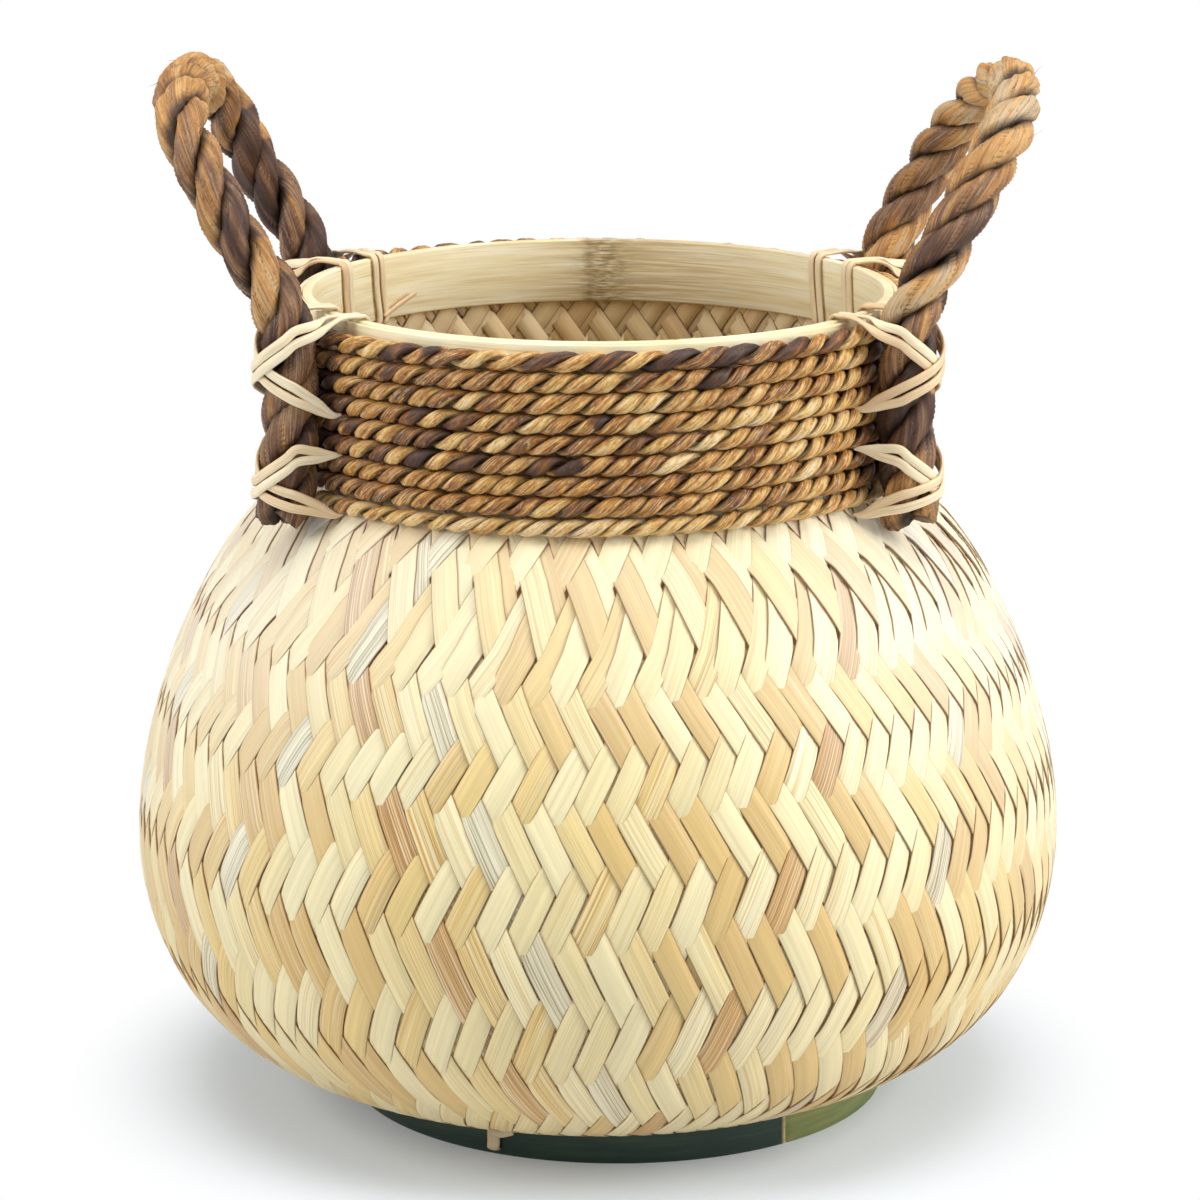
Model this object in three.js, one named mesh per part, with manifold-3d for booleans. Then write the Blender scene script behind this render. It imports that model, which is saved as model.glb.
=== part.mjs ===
// Bamboo planter basket: a round woven belly on a split bamboo foot hoop, a rope wound
// round the neck, and two thick rope handles lashed to it with rattan peel.
// Millimetres, Z up. The origin is on the floor under the middle of the belly, the front
// of the basket faces minus Y, and the handles stand on the left and right, along X.
import * as THREE from "three";
import { mergeVertices } from "three/addons/utils/BufferGeometryUtils.js";
import Module from "manifold-3d";

const wasm = await Module();
wasm.setup();

// The woven body
const BELLY_RADIUS = 170;
const BELLY_HEIGHT = 102; // the widest girth, above the floor
const BASE_RADIUS = 98.5; // where the flat base turns up into the belly
const NECK_RADIUS = 108.7; // outside of the weave at the neck
const SHOULDER_HEIGHT = 232.5; // where the belly meets the neck
const NECK_HEIGHT = 67; // from there to the top of the rim
const WEAVE_THICKNESS = 1.6; // two crossing strips
const SHOULDER_FILLET = 1.5; // how far the neck spreads where it meets the shoulder
const SHOULDER_FILLET_HEIGHT = 6.5;

// Fullness of the belly's lower and upper curves: how far each keeps its direction at
// its two ends, as shares of its own spread and height
const BASE_FULLNESS = 0.35;
const BASE_RISE = 0.04;
const LOWER_BELLY_FULLNESS = 0.75;
const UPPER_BELLY_FULLNESS = 0.18;
const SHOULDER_FULLNESS = 0.77;
const SHOULDER_DROP = 0.28;

// Bamboo hoops
const RIM_HOOP_HEIGHT = 24;
const RIM_HOOP_THICKNESS = 3.4;
const RIM_STRIP_HEIGHT = 8.7;
const FOOT_HEIGHT = 12;
const FOOT_RADIUS = 99.6;
const FOOT_THICKNESS = 4;
const FOOT_OFFSET = 7; // the hoop is tied on a little to the right of the belly
const LAP_TIP = 1.2; // thickness left at the end of a shaved lap
const LAP_STEPS = 3; // length of a lap, in facets
const RIM_LAP_STEP = -10; // facet where the rim hoop's lap starts, counted from plus X
const FOOT_LAP_STEP = -10;
const STRIP_END_DEG = -37.5; // cut end of the outer strip, by the right front handle leg
const STRIP_OPEN_DEG = 7.5;

// Rope wound round the neck
const ROPE_DIAMETER = 6.7;
const ROPE_GAP = 0.52; // between one turn and the next
const ROPE_BELOW_RIM = 2; // room left above the top turn
const ROPE_SAGS_BEHIND = 1.4; // the turns lie this much lower at the back
const ROPE_SIDES = 6;
const ROPE_STEPS = 24; // per turn
const ROPE_START_DEG = -150; // both ends hide behind the legs of the left handle
const ROPE_END_DEG = 150;

// Rope handles
const HANDLE_DIAMETER = 20.5;
const HANDLE_SIDES = 10;
const LEG_ANGLE_DEG = 31.2; // each leg stands this far round from the X axis
const LEG_STAND_OFF = 0.5; // from the winding, whose rope ends run straight past the legs
const LEG_FLARE = 2.5; // the cut lower end stands off this much further
const LEG_FLARE_HEIGHT = 27; // over this much of its length
const LEG_FOOT_BELOW_SHOULDER = 3.5;
const HINGE_ABOVE_RIM = 2.5; // where the rope starts to flex
const BEND_REACH = 8; // the flexing length, each way from the hinge
const HANDLE_LEAN_DEG = 30; // the loops lean outward at rest
const HANDLE_REACH = 82; // from the hinge to the top of the loop, along the lean
const RIGHT_LOOP_SQUARENESS = 2.4; // 2 is an ellipse
const LEFT_LOOP_SQUARENESS = 3.3;

// Rattan peel lashings, crossed over each leg
const PEEL_WIDTH = 4.6;
const PEEL_THICKNESS = 1.2;
const PAIR_WIDTH = 9.8; // the band is two strands side by side where it crosses the leg
const PEEL_LIFT = 0.45; // one band rises over the other
const PEEL_WRAP_DEG = 73; // how far round the leg the bands lie against it, each way
const PEEL_BEND_ROOM = 0.65; // a band stands off the edge that it bends over
const PEEL_OVER_RIM = 11.5; // sideways from the middle of the leg, over the rim
const PEEL_SPREAD = 0.25; // share by which a band fans out from there, over the rope
const PEEL_OVERHANG = 2; // past the outside of the rope
const PEEL_MEETS_LEG = 3.4; // inward of the middle of the leg
const PEEL_FLANK = 2.1; // between the leg and a band that comes down from the rim
const FLANK_TILT = 0.2; // of the band there, out and up
const PEEL_DIVE = 3.4; // between the leg and a band that dives between turns of the rope
const UPPER_START_BELOW_RIM = 7.5;
const UPPER_CROSSING_BELOW_RIM = 18.5;
const UPPER_END_BELOW_RIM = 28;
const LOWER_START_ABOVE_SHOULDER = 18;
const LOWER_CROSSING_ABOVE_SHOULDER = 8;
const LOWER_END_BELOW_SHOULDER = 5;
const PEEL_END_DROP = 2.5; // from the side of the leg to where a band dives
const SHOULDER_FACES_UP = 0.8; // the slope that the lowest ends lie on
const SHOULDER_FACES_OUT = 0.6;

// Ties that hold the foot hoop
const TIE_COUNT = 3;
const TIE_WIDTH = 5;
const TIE_THICKNESS = 0.9;
const TIE_ABOVE_FLOOR = 2.2;
const TIE_FIRST_STEP = -15.5; // in facets, so each tie lies on the flat of one

const CLEARANCE = 0.3; // between pieces that touch
const ROUND_STEPS = 48; // facets round the body and the hoops
const CURVE_STEPS = 8; // in each of the belly's two curves
const LOOP_STEPS = 30;
const BEND_STEPS = 4;
const OUTLINE_SAMPLES = 400; // along the body's outline, to seat the rope on it
const CUT_THROUGH = 1; // a cut runs this far past each face

const turn = (degrees) => (degrees * Math.PI) / 180;
const facet = (2 * Math.PI) / ROUND_STEPS;
const flatOfFacet = Math.cos(facet / 2);

const rimHeight = SHOULDER_HEIGHT + NECK_HEIGHT;
const baseHeight = FOOT_HEIGHT + CLEARANCE;
const neckInner = NECK_RADIUS - WEAVE_THICKNESS;
const hoopOuter = neckInner - CLEARANCE;
const hoopInner = hoopOuter - RIM_HOOP_THICKNESS;
const filletTop = SHOULDER_HEIGHT + SHOULDER_FILLET_HEIGHT;
const hoopBottom = rimHeight - RIM_HOOP_HEIGHT;
const stripTop = rimHeight - 2 * CLEARANCE;
const stripBottom = stripTop - RIM_STRIP_HEIGHT;
const weaveTop = stripBottom - CLEARANCE;

const ropeRadius = ROPE_DIAMETER / 2;
const ropeFlat = ropeRadius * Math.cos(Math.PI / ROPE_SIDES);
const ropePitch = ROPE_DIAMETER + ROPE_GAP;
const ropeFirstFront = SHOULDER_HEIGHT + ropeRadius + CLEARANCE; // lowest turn at the front
const ropeTopMargin = ropeRadius + ROPE_BELOW_RIM;
const ropeFullTurns = Math.round((rimHeight - ropeTopMargin - ropeFirstFront) / ropePitch);

const legRadius = HANDLE_DIAMETER / 2;
const hingeHeight = rimHeight + HINGE_ABOVE_RIM;
const legFoot = SHOULDER_HEIGHT - LEG_FOOT_BELOW_SHOULDER;

const bamboo = { color: 0xe4cf9c, roughness: 0.62, metalness: 0 };
const paleBamboo = { color: 0xdcc48e, roughness: 0.5, metalness: 0 };
const greenBamboo = { color: 0x5c6b3f, roughness: 0.45, metalness: 0 };
const seagrass = { color: 0xa9824a, roughness: 0.85, metalness: 0 };
const barkRope = { color: 0x8a6540, roughness: 0.88, metalness: 0 };
const rattan = { color: 0xe8d2a6, roughness: 0.5, metalness: 0 };

function piece(name, geometry, look) {
  geometry.computeVertexNormals();
  const mesh = new THREE.Mesh(geometry, new THREE.MeshStandardMaterial(look));
  mesh.name = name;
  return mesh;
}

// A closed skin over rings of points that run anticlockwise about the way they go,
// with a flat cap on the first and the last
function loft(rings) {
  const sides = rings[0].length;
  const last = (rings.length - 1) * sides;
  const faces = [];
  for (let start = 0; start < last; start += sides) {
    for (let side = 0; side < sides; side += 1) {
      const here = start + side;
      const next = start + ((side + 1) % sides);
      faces.push(here, next, here + sides, next, next + sides, here + sides);
    }
  }
  for (let side = 1; side + 1 < sides; side += 1) {
    faces.push(0, side + 1, side);
    faces.push(last, last + side, last + side + 1);
  }
  const geometry = new THREE.BufferGeometry().setFromPoints(rings.flat());
  geometry.setIndex(faces);
  return geometry;
}

function toSolid(geometry) {
  const bare = geometry.clone();
  bare.deleteAttribute("normal");
  bare.deleteAttribute("uv");
  const merged = mergeVertices(bare, 1e-5);
  const mesh = new wasm.Mesh({
    numProp: 3,
    vertProperties: Float32Array.from(merged.attributes.position.array),
    triVerts: Uint32Array.from(merged.index.array),
  });
  return new wasm.Manifold(mesh);
}

function toGeometry(solid) {
  const mesh = solid.getMesh();
  const geometry = new THREE.BufferGeometry();
  geometry.setAttribute("position", new THREE.BufferAttribute(Float32Array.from(mesh.vertProperties), 3));
  geometry.setIndex(Array.from(mesh.triVerts));
  return geometry;
}

function joined(geometries) {
  const solids = geometries.map(toSolid);
  const whole = solids.slice(1).reduce((sum, solid) => sum.add(solid), solids[0]);
  return toGeometry(whole);
}

function tube(path, radius, sides, steps) {
  const section = new THREE.Shape();
  section.absarc(0, 0, radius, 0, 2 * Math.PI);
  return new THREE.ExtrudeGeometry(section, {
    steps,
    curveSegments: sides / 2,
    extrudePath: path,
    bevelEnabled: false,
  });
}

// The outside of the weave from the middle of the base up to the cut edge under the strip,
// as points of radius and height
function bodyOutline() {
  const base = new THREE.Vector2(BASE_RADIUS, baseHeight);
  const belly = new THREE.Vector2(BELLY_RADIUS, BELLY_HEIGHT);
  const shoulder = new THREE.Vector2(NECK_RADIUS + SHOULDER_FILLET, SHOULDER_HEIGHT);
  const below = belly.clone().sub(base);
  const above = shoulder.clone().sub(belly);
  const lower = new THREE.CubicBezierCurve(
    base,
    new THREE.Vector2(base.x + BASE_FULLNESS * below.x, base.y + BASE_RISE * below.y),
    new THREE.Vector2(belly.x, belly.y - LOWER_BELLY_FULLNESS * below.y),
    belly
  );
  const upper = new THREE.CubicBezierCurve(
    belly,
    new THREE.Vector2(belly.x, belly.y + UPPER_BELLY_FULLNESS * above.y),
    new THREE.Vector2(shoulder.x - SHOULDER_FULLNESS * above.x, shoulder.y - SHOULDER_DROP * above.y),
    shoulder
  );
  return [
    new THREE.Vector2(0, baseHeight),
    ...lower.getSpacedPoints(CURVE_STEPS),
    ...upper.getSpacedPoints(CURVE_STEPS).slice(1),
    new THREE.Vector2(NECK_RADIUS, filletTop),
    new THREE.Vector2(NECK_RADIUS, weaveTop),
  ];
}

// The same outline moved inward by the thickness of the weave
function innerOutline(outline) {
  return outline.map((point, index) => {
    const before = outline[Math.max(index - 1, 0)];
    const after = outline[Math.min(index + 1, outline.length - 1)];
    const along = after.clone().sub(before).normalize();
    return new THREE.Vector2(
      Math.max(point.x - along.y * WEAVE_THICKNESS, 0),
      point.y + along.x * WEAVE_THICKNESS
    );
  });
}

const outline = bodyOutline();
const outlinePath = new THREE.Path(outline);
const shoulderPoints = outlinePath
  .getSpacedPoints(OUTLINE_SAMPLES)
  .filter((point) => point.y > BELLY_HEIGHT && point.y <= filletTop);

function weaveRadiusAt(height) {
  const above = outline.findIndex((point) => point.x > 0 && point.y >= height && point.y > BELLY_HEIGHT);
  const [low, high] = [outline[above - 1], outline[above]];
  return THREE.MathUtils.mapLinear(height, low.y, high.y, low.x, high.x);
}

function wovenBody() {
  const profile = [...outline, ...innerOutline(outline).reverse()];
  const lathe = new THREE.LatheGeometry(profile, ROUND_STEPS);
  return lathe.rotateX(Math.PI / 2);
}

// A strip of bamboo bent into a hoop. Its two ends are shaved and lie over each other
// for the length of the lap, with the outer end on top.
function lappedHoop({ inner, outer, bottom, top, startStep }) {
  const rings = [];
  const laps = ROUND_STEPS + LAP_STEPS;
  const shave = outer - inner - 2 * LAP_TIP - CLEARANCE;
  for (let step = 0; step <= laps; step += 1) {
    const angle = (startStep + step) * facet;
    const fromStart = step / LAP_STEPS;
    const fromEnd = (step - ROUND_STEPS) / LAP_STEPS;
    const outside = fromStart <= 1 ? inner + LAP_TIP + shave * fromStart : outer;
    const inside = fromEnd >= 0 ? inner + LAP_TIP + shave * fromEnd + CLEARANCE : inner;
    const at = (radius, height) =>
      new THREE.Vector3(radius * Math.cos(angle), radius * Math.sin(angle), height);
    rings.push([at(inside, top), at(outside, top), at(outside, bottom), at(inside, bottom)]);
  }
  return loft(rings);
}

// The thin outer strip stands on the cut edge of the weave and is open where its ends meet
function rimStrip() {
  const rings = [];
  const steps = ROUND_STEPS - Math.round(turn(STRIP_OPEN_DEG) / facet);
  for (let step = 0; step <= steps; step += 1) {
    const angle = turn(STRIP_END_DEG) - step * facet;
    const at = (radius, height) =>
      new THREE.Vector3(radius * Math.cos(angle), radius * Math.sin(angle), height);
    rings.push([
      at(neckInner, stripTop),
      at(neckInner, stripBottom),
      at(NECK_RADIUS, stripBottom),
      at(NECK_RADIUS, stripTop),
    ]);
  }
  return loft(rings);
}

// How far out the rope's centre line lies at a height: against the straight neck, or
// against the shoulder where that stands further out
function windingRadius(height) {
  const reach = ropeRadius + CLEARANCE;
  const onShoulder = shoulderPoints
    .filter((point) => Math.abs(point.y - height) < reach)
    .map((point) => point.x + Math.sqrt(reach ** 2 - (point.y - height) ** 2));
  const onNeck = NECK_RADIUS + CLEARANCE + ropeFlat;
  return Math.max(onNeck, ...onShoulder) / Math.cos(Math.PI / ROPE_STEPS);
}

function windingHeight(degrees) {
  const sag = (ROPE_SAGS_BEHIND * (1 + Math.sin(turn(degrees)))) / 2;
  return ropeFirstFront + (ropePitch * (degrees + 90)) / 360 - sag;
}

const windingOuter = windingRadius(hoopBottom) + ropeFlat;
const legDistance = windingOuter + LEG_STAND_OFF + legRadius;

// Height of the winding's top turn where it passes an angle, or ends close before it
function windingTopAt(degrees) {
  const last = ROPE_END_DEG + 360 * ropeFullTurns;
  const close = THREE.MathUtils.radToDeg(HANDLE_DIAMETER / legDistance);
  const turns = Math.floor((last + close - degrees) / 360);
  return windingHeight(degrees + 360 * turns) + ropeRadius;
}

// One unbroken rope, wound anticlockwise up the neck. Its ends run straight for one diameter.
function neckRope() {
  const stepDegrees = 360 / ROPE_STEPS;
  const last = ROPE_END_DEG + 360 * ropeFullTurns;
  const path = [];
  for (let degrees = ROPE_START_DEG; degrees <= last; degrees += stepDegrees) {
    const height = windingHeight(degrees);
    const radius = windingRadius(height);
    const angle = turn(degrees);
    path.push(new THREE.Vector3(radius * Math.cos(angle), radius * Math.sin(angle), height));
  }
  const runOn = (from, to) => to.clone().addScaledVector(to.clone().sub(from).normalize(), ROPE_DIAMETER);
  path.unshift(runOn(path[1], path[0]));
  path.push(runOn(path[path.length - 2], path[path.length - 1]));
  const rings = path.map((centre, index) => {
    const before = path[Math.max(index - 1, 0)];
    const after = path[Math.min(index + 1, path.length - 1)];
    const along = after.clone().sub(before).normalize();
    const outward = along.clone().cross(new THREE.Vector3(0, 0, 1)).normalize();
    const upward = outward.clone().cross(along);
    return Array.from({ length: ROPE_SIDES }, (_, side) => {
      const angle = (2 * Math.PI * side) / ROPE_SIDES;
      return centre
        .clone()
        .addScaledVector(upward, ropeRadius * Math.cos(angle))
        .addScaledVector(outward, ropeRadius * Math.sin(angle));
    });
  });
  printLeastGap(rings);
  return loft(rings);
}

// Least distance between points of the rope at least half a turn apart
function printLeastGap(rings) {
  let least = Infinity;
  for (let one = 0; one < rings.length; one += 1) {
    for (let other = one + ROPE_STEPS / 2; other < rings.length; other += 1) {
      for (const point of rings[one]) {
        for (const far of rings[other]) {
          least = Math.min(least, point.distanceTo(far));
        }
      }
    }
  }
  console.log(`neck rope: least gap between turns ${least.toFixed(2)} mm`);
}

// A handle in the frame of the right side: its legs stand at plus and minus the leg angle
const legX = legDistance * Math.cos(turn(LEG_ANGLE_DEG));
const legY = legDistance * Math.sin(turn(LEG_ANGLE_DEG));
const leanX = Math.sin(turn(HANDLE_LEAN_DEG));
const leanZ = Math.cos(turn(HANDLE_LEAN_DEG));

class LoopPath extends THREE.Curve {
  constructor(squareness) {
    super();
    this.squareness = squareness;
  }

  getPoint(t, target = new THREE.Vector3()) {
    const start = BEND_REACH + CLEARANCE;
    const power = 2 / this.squareness;
    const cosine = Math.cos(Math.PI * t);
    const across = -legY * Math.sign(cosine) * Math.abs(cosine) ** power;
    const up = start + (HANDLE_REACH - start) * Math.max(Math.sin(Math.PI * t), 0) ** power;
    return target.set(legX + leanX * up, across, hingeHeight + leanZ * up);
  }
}

function handleBend(sideOfLeg) {
  const corner = new THREE.Vector3(legX, sideOfLeg * legY, hingeHeight);
  const below = corner.clone().add(new THREE.Vector3(0, 0, -BEND_REACH));
  const beyond = corner.clone().add(new THREE.Vector3(leanX, 0, leanZ).multiplyScalar(BEND_REACH));
  const path = new THREE.QuadraticBezierCurve3(below, corner, beyond);
  return tube(path, legRadius, HANDLE_SIDES, BEND_STEPS);
}

// A leg in its own frame: X runs outward through it
const legTop = hingeHeight - BEND_REACH - CLEARANCE;

function legDistanceAt(height) {
  const down = THREE.MathUtils.clamp(1 - (height - legFoot) / LEG_FLARE_HEIGHT, 0, 1);
  return legDistance + LEG_FLARE * down ** 2;
}

function handleLeg() {
  const stations = 7;
  const points = Array.from({ length: stations }, (_, index) => {
    const height = THREE.MathUtils.lerp(legFoot, legTop, index / (stations - 1));
    return new THREE.Vector3(legDistanceAt(height), 0, height);
  });
  return tube(new THREE.CatmullRomCurve3(points), legRadius, HANDLE_SIDES, stations - 1);
}

// A flat band of peel through stations. Each has a place, the way its outer face looks,
// and a width.
function band(stations) {
  const rings = stations.map(({ at, away, width = PEEL_WIDTH }, index) => {
    const before = stations[Math.max(index - 1, 0)].at;
    const after = stations[Math.min(index + 1, stations.length - 1)].at;
    const along = after.clone().sub(before).normalize();
    const face = away.clone().addScaledVector(along, -away.dot(along)).normalize();
    const across = along.clone().cross(face);
    const corner = (out, side) =>
      at
        .clone()
        .addScaledVector(face, (out * PEEL_THICKNESS) / 2)
        .addScaledVector(across, (side * width) / 2);
    return [corner(1, -1), corner(1, 1), corner(-1, 1), corner(-1, -1)];
  });
  return loft(rings);
}

const peelSeat = CLEARANCE + PEEL_THICKNESS / 2;
const besideLeg = legRadius + peelSeat + PEEL_DIVE;

// Stations over the outside of a leg, in the leg's frame, from the side where Y has the
// sign of startSide to the other. The band is widest and furthest out where it crosses.
function overLeg({ startSide, start, crossing, end, lift }) {
  const wrap = turn(PEEL_WRAP_DEG);
  const steps = 8;
  const hug = legRadius + peelSeat + PEEL_BEND_ROOM;
  return Array.from({ length: steps + 1 }, (_, index) => {
    const way = index / steps;
    const angle = startSide * THREE.MathUtils.lerp(wrap, -wrap, way);
    const middle = Math.cos(Math.PI * (way - 0.5));
    const height = way < 0.5
      ? THREE.MathUtils.lerp(start, crossing, 2 * way)
      : THREE.MathUtils.lerp(crossing, end, 2 * way - 1);
    const away = new THREE.Vector3(Math.cos(angle), Math.sin(angle), 0);
    const at = new THREE.Vector3(legDistanceAt(height), 0, height);
    at.addScaledVector(away, hug + lift * middle);
    return { at, away, width: THREE.MathUtils.lerp(PEEL_WIDTH, PAIR_WIDTH, middle) };
  });
}

// A station at a radius from the basket's axis, and so far sideways from the leg's middle.
// out and up give the way its outer face looks.
function station({ radius, sideways, height, out, up }) {
  const at = new THREE.Vector3(Math.sqrt(radius ** 2 - sideways ** 2), sideways, height);
  const away = new THREE.Vector3((out * at.x) / radius, (out * at.y) / radius, up);
  return { at, away };
}

// The band goes under the rim hoop, up its inner face, over the rim and the top turn of
// rope, and out beside the leg
function overRim(side, windingTop) {
  const sideways = side * PEEL_OVER_RIM;
  const stand = peelSeat + PEEL_BEND_ROOM;
  const inFace = hoopInner * flatOfFacet - stand;
  const under = hoopBottom - stand;
  const over = rimHeight + stand;
  const crest = Math.max(rimHeight, windingTop) + stand;
  const bent = crest - PEEL_END_DROP;
  const partSpread = (1 + PEEL_SPREAD / 2) * sideways;
  const fullSpread = (1 + PEEL_SPREAD) * sideways;
  const flank = side * (legRadius + peelSeat + PEEL_FLANK);
  return [
    station({ radius: hoopOuter - PEEL_THICKNESS, sideways, height: under, out: 0, up: -1 }),
    station({ radius: hoopInner - CLEARANCE, sideways, height: under, out: 0, up: -1 }),
    station({ radius: inFace, sideways, height: hoopBottom, out: -1, up: 0 }),
    station({ radius: inFace, sideways, height: rimHeight, out: -1, up: 0 }),
    station({ radius: hoopInner + CLEARANCE, sideways, height: over, out: -1, up: 1 }),
    station({ radius: hoopOuter, sideways, height: over, out: 0, up: 1 }),
    station({ radius: windingRadius(rimHeight), sideways: partSpread, height: crest, out: 0, up: 1 }),
    station({ radius: windingOuter + PEEL_OVERHANG, sideways: fullSpread, height: bent, out: 1, up: 1 }),
    {
      at: new THREE.Vector3(legDistance - PEEL_MEETS_LEG, flank, rimHeight - UPPER_START_BELOW_RIM / 2),
      away: new THREE.Vector3(FLANK_TILT, side, FLANK_TILT),
    },
  ];
}

function onWinding(side, height) {
  const radius = windingOuter + peelSeat + PEEL_BEND_ROOM;
  return station({ radius, sideways: side * besideLeg, height, out: 1, up: 0 });
}

// The end that dives under the lowest turn lies flat on the slope of the shoulder
function onShoulder(side, height) {
  const off = peelSeat + PEEL_BEND_ROOM;
  return station({
    radius: weaveRadiusAt(height) + SHOULDER_FACES_OUT * off,
    sideways: side * besideLeg,
    height: height + SHOULDER_FACES_UP * off,
    out: SHOULDER_FACES_OUT,
    up: SHOULDER_FACES_UP,
  });
}

function upperLash(windingTop) {
  const endHeight = rimHeight - UPPER_END_BELOW_RIM;
  const bands = [1, -1].map((startSide) => {
    const leg = overLeg({
      startSide,
      start: rimHeight - UPPER_START_BELOW_RIM,
      crossing: rimHeight - UPPER_CROSSING_BELOW_RIM,
      end: endHeight + PEEL_END_DROP,
      lift: startSide > 0 ? PEEL_LIFT : 0,
    });
    return band([...overRim(startSide, windingTop), ...leg, onWinding(-startSide, endHeight)]);
  });
  return joined(bands);
}

function lowerLash() {
  const startHeight = SHOULDER_HEIGHT + LOWER_START_ABOVE_SHOULDER;
  const endHeight = SHOULDER_HEIGHT - LOWER_END_BELOW_SHOULDER;
  const bands = [1, -1].map((startSide) => {
    const leg = overLeg({
      startSide,
      start: startHeight - PEEL_END_DROP,
      crossing: SHOULDER_HEIGHT + LOWER_CROSSING_ABOVE_SHOULDER,
      end: endHeight + 2 * PEEL_END_DROP,
      lift: startSide > 0 ? PEEL_LIFT : 0,
    });
    return band([onWinding(startSide, startHeight), ...leg, onShoulder(-startSide, endHeight)]);
  });
  return joined(bands);
}

// A tie in the foot's frame, on the flat of a facet at plus X: a strip down the outer
// face, in through a hole in the hoop and up the inner face
const footInner = FOOT_RADIUS - FOOT_THICKNESS;
const tieOutside = FOOT_RADIUS * flatOfFacet + CLEARANCE;
const tieInside = footInner * flatOfFacet - CLEARANCE;
const tieTop = FOOT_HEIGHT - CLEARANCE;

function uprightStrip(outlinePoints, width) {
  const shape = new THREE.Shape(outlinePoints.map(([x, z]) => new THREE.Vector2(x, z)));
  const strip = new THREE.ExtrudeGeometry(shape, { depth: width, bevelEnabled: false });
  return strip.rotateX(Math.PI / 2).translate(0, width / 2, 0);
}

function footTie() {
  const outer = tieOutside + TIE_THICKNESS;
  const inner = tieInside - TIE_THICKNESS;
  const crossTop = TIE_ABOVE_FLOOR + TIE_THICKNESS;
  return uprightStrip(
    [
      [inner, TIE_ABOVE_FLOOR],
      [outer, TIE_ABOVE_FLOOR],
      [outer, tieTop],
      [tieOutside, tieTop],
      [tieOutside, crossTop],
      [tieInside, crossTop],
      [tieInside, tieTop],
      [inner, tieTop],
    ],
    TIE_WIDTH
  );
}

function footHole() {
  const low = TIE_ABOVE_FLOOR - CLEARANCE;
  const high = TIE_ABOVE_FLOOR + TIE_THICKNESS + CLEARANCE;
  const far = FOOT_RADIUS + CUT_THROUGH;
  const near = footInner - CUT_THROUGH;
  return uprightStrip(
    [
      [near, low],
      [far, low],
      [far, high],
      [near, high],
    ],
    TIE_WIDTH + 2 * CLEARANCE
  );
}

const tieAngles = Array.from(
  { length: TIE_COUNT },
  (_, index) => (TIE_FIRST_STEP + (index * ROUND_STEPS) / TIE_COUNT) * facet
);

function footHoop() {
  const hoop = lappedHoop({
    inner: footInner,
    outer: FOOT_RADIUS,
    bottom: 0,
    top: FOOT_HEIGHT,
    startStep: FOOT_LAP_STEP,
  });
  const holes = tieAngles.map((angle) => toSolid(footHole().rotateZ(angle)));
  return toGeometry(holes.reduce((left, hole) => left.subtract(hole), toSolid(hoop)));
}

function foot() {
  const group = new THREE.Group();
  group.position.x = FOOT_OFFSET;
  group.add(piece("foot_hoop", footHoop(), greenBamboo));
  tieAngles.forEach((angle, index) => {
    const tie = piece(`foot_tie_${index + 1}`, footTie(), rattan);
    tie.rotation.z = angle;
    group.add(tie);
  });
  return group;
}

function rim() {
  const group = new THREE.Group();
  const hoop = lappedHoop({
    inner: hoopInner,
    outer: hoopOuter,
    bottom: hoopBottom,
    top: rimHeight,
    startStep: RIM_LAP_STEP,
  });
  group.add(piece("rim_inner_hoop", hoop, paleBamboo));
  group.add(piece("rim_outer_strip", rimStrip(), paleBamboo));
  return group;
}

// One handle: its loop and bends lean along X, and each leg group is turned to its place.
// The left handle is the right one turned half round, with a squarer loop.
function handle(side, turned, squareness) {
  const group = new THREE.Group();
  group.rotation.z = turn(turned);
  const loop = tube(new LoopPath(squareness), legRadius, HANDLE_SIDES, LOOP_STEPS);
  group.add(piece(`${side}_handle_loop`, loop, barkRope));
  for (const sideOfLeg of [-1, 1]) {
    const isFront = sideOfLeg * Math.cos(turn(turned)) < 0;
    const name = `${side}_${isFront ? "front" : "rear"}`;
    const legAngle = sideOfLeg * LEG_ANGLE_DEG;
    group.add(piece(`${name}_bend`, handleBend(sideOfLeg), barkRope));
    const leg = new THREE.Group();
    leg.rotation.z = turn(legAngle);
    leg.add(piece(`${name}_leg`, handleLeg(), barkRope));
    leg.add(piece(`${name}_upper_lash`, upperLash(windingTopAt(turned + legAngle)), rattan));
    leg.add(piece(`${name}_lower_lash`, lowerLash(), rattan));
    group.add(leg);
  }
  return group;
}

const basket = new THREE.Group();
basket.add(piece("woven_body", wovenBody(), bamboo));
basket.add(rim());
basket.add(piece("neck_rope", neckRope(), seagrass));
basket.add(handle("right", 0, RIGHT_LOOP_SQUARENESS));
basket.add(handle("left", 180, LEFT_LOOP_SQUARENESS));
basket.add(foot());

export default basket;
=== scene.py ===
import math

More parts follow.
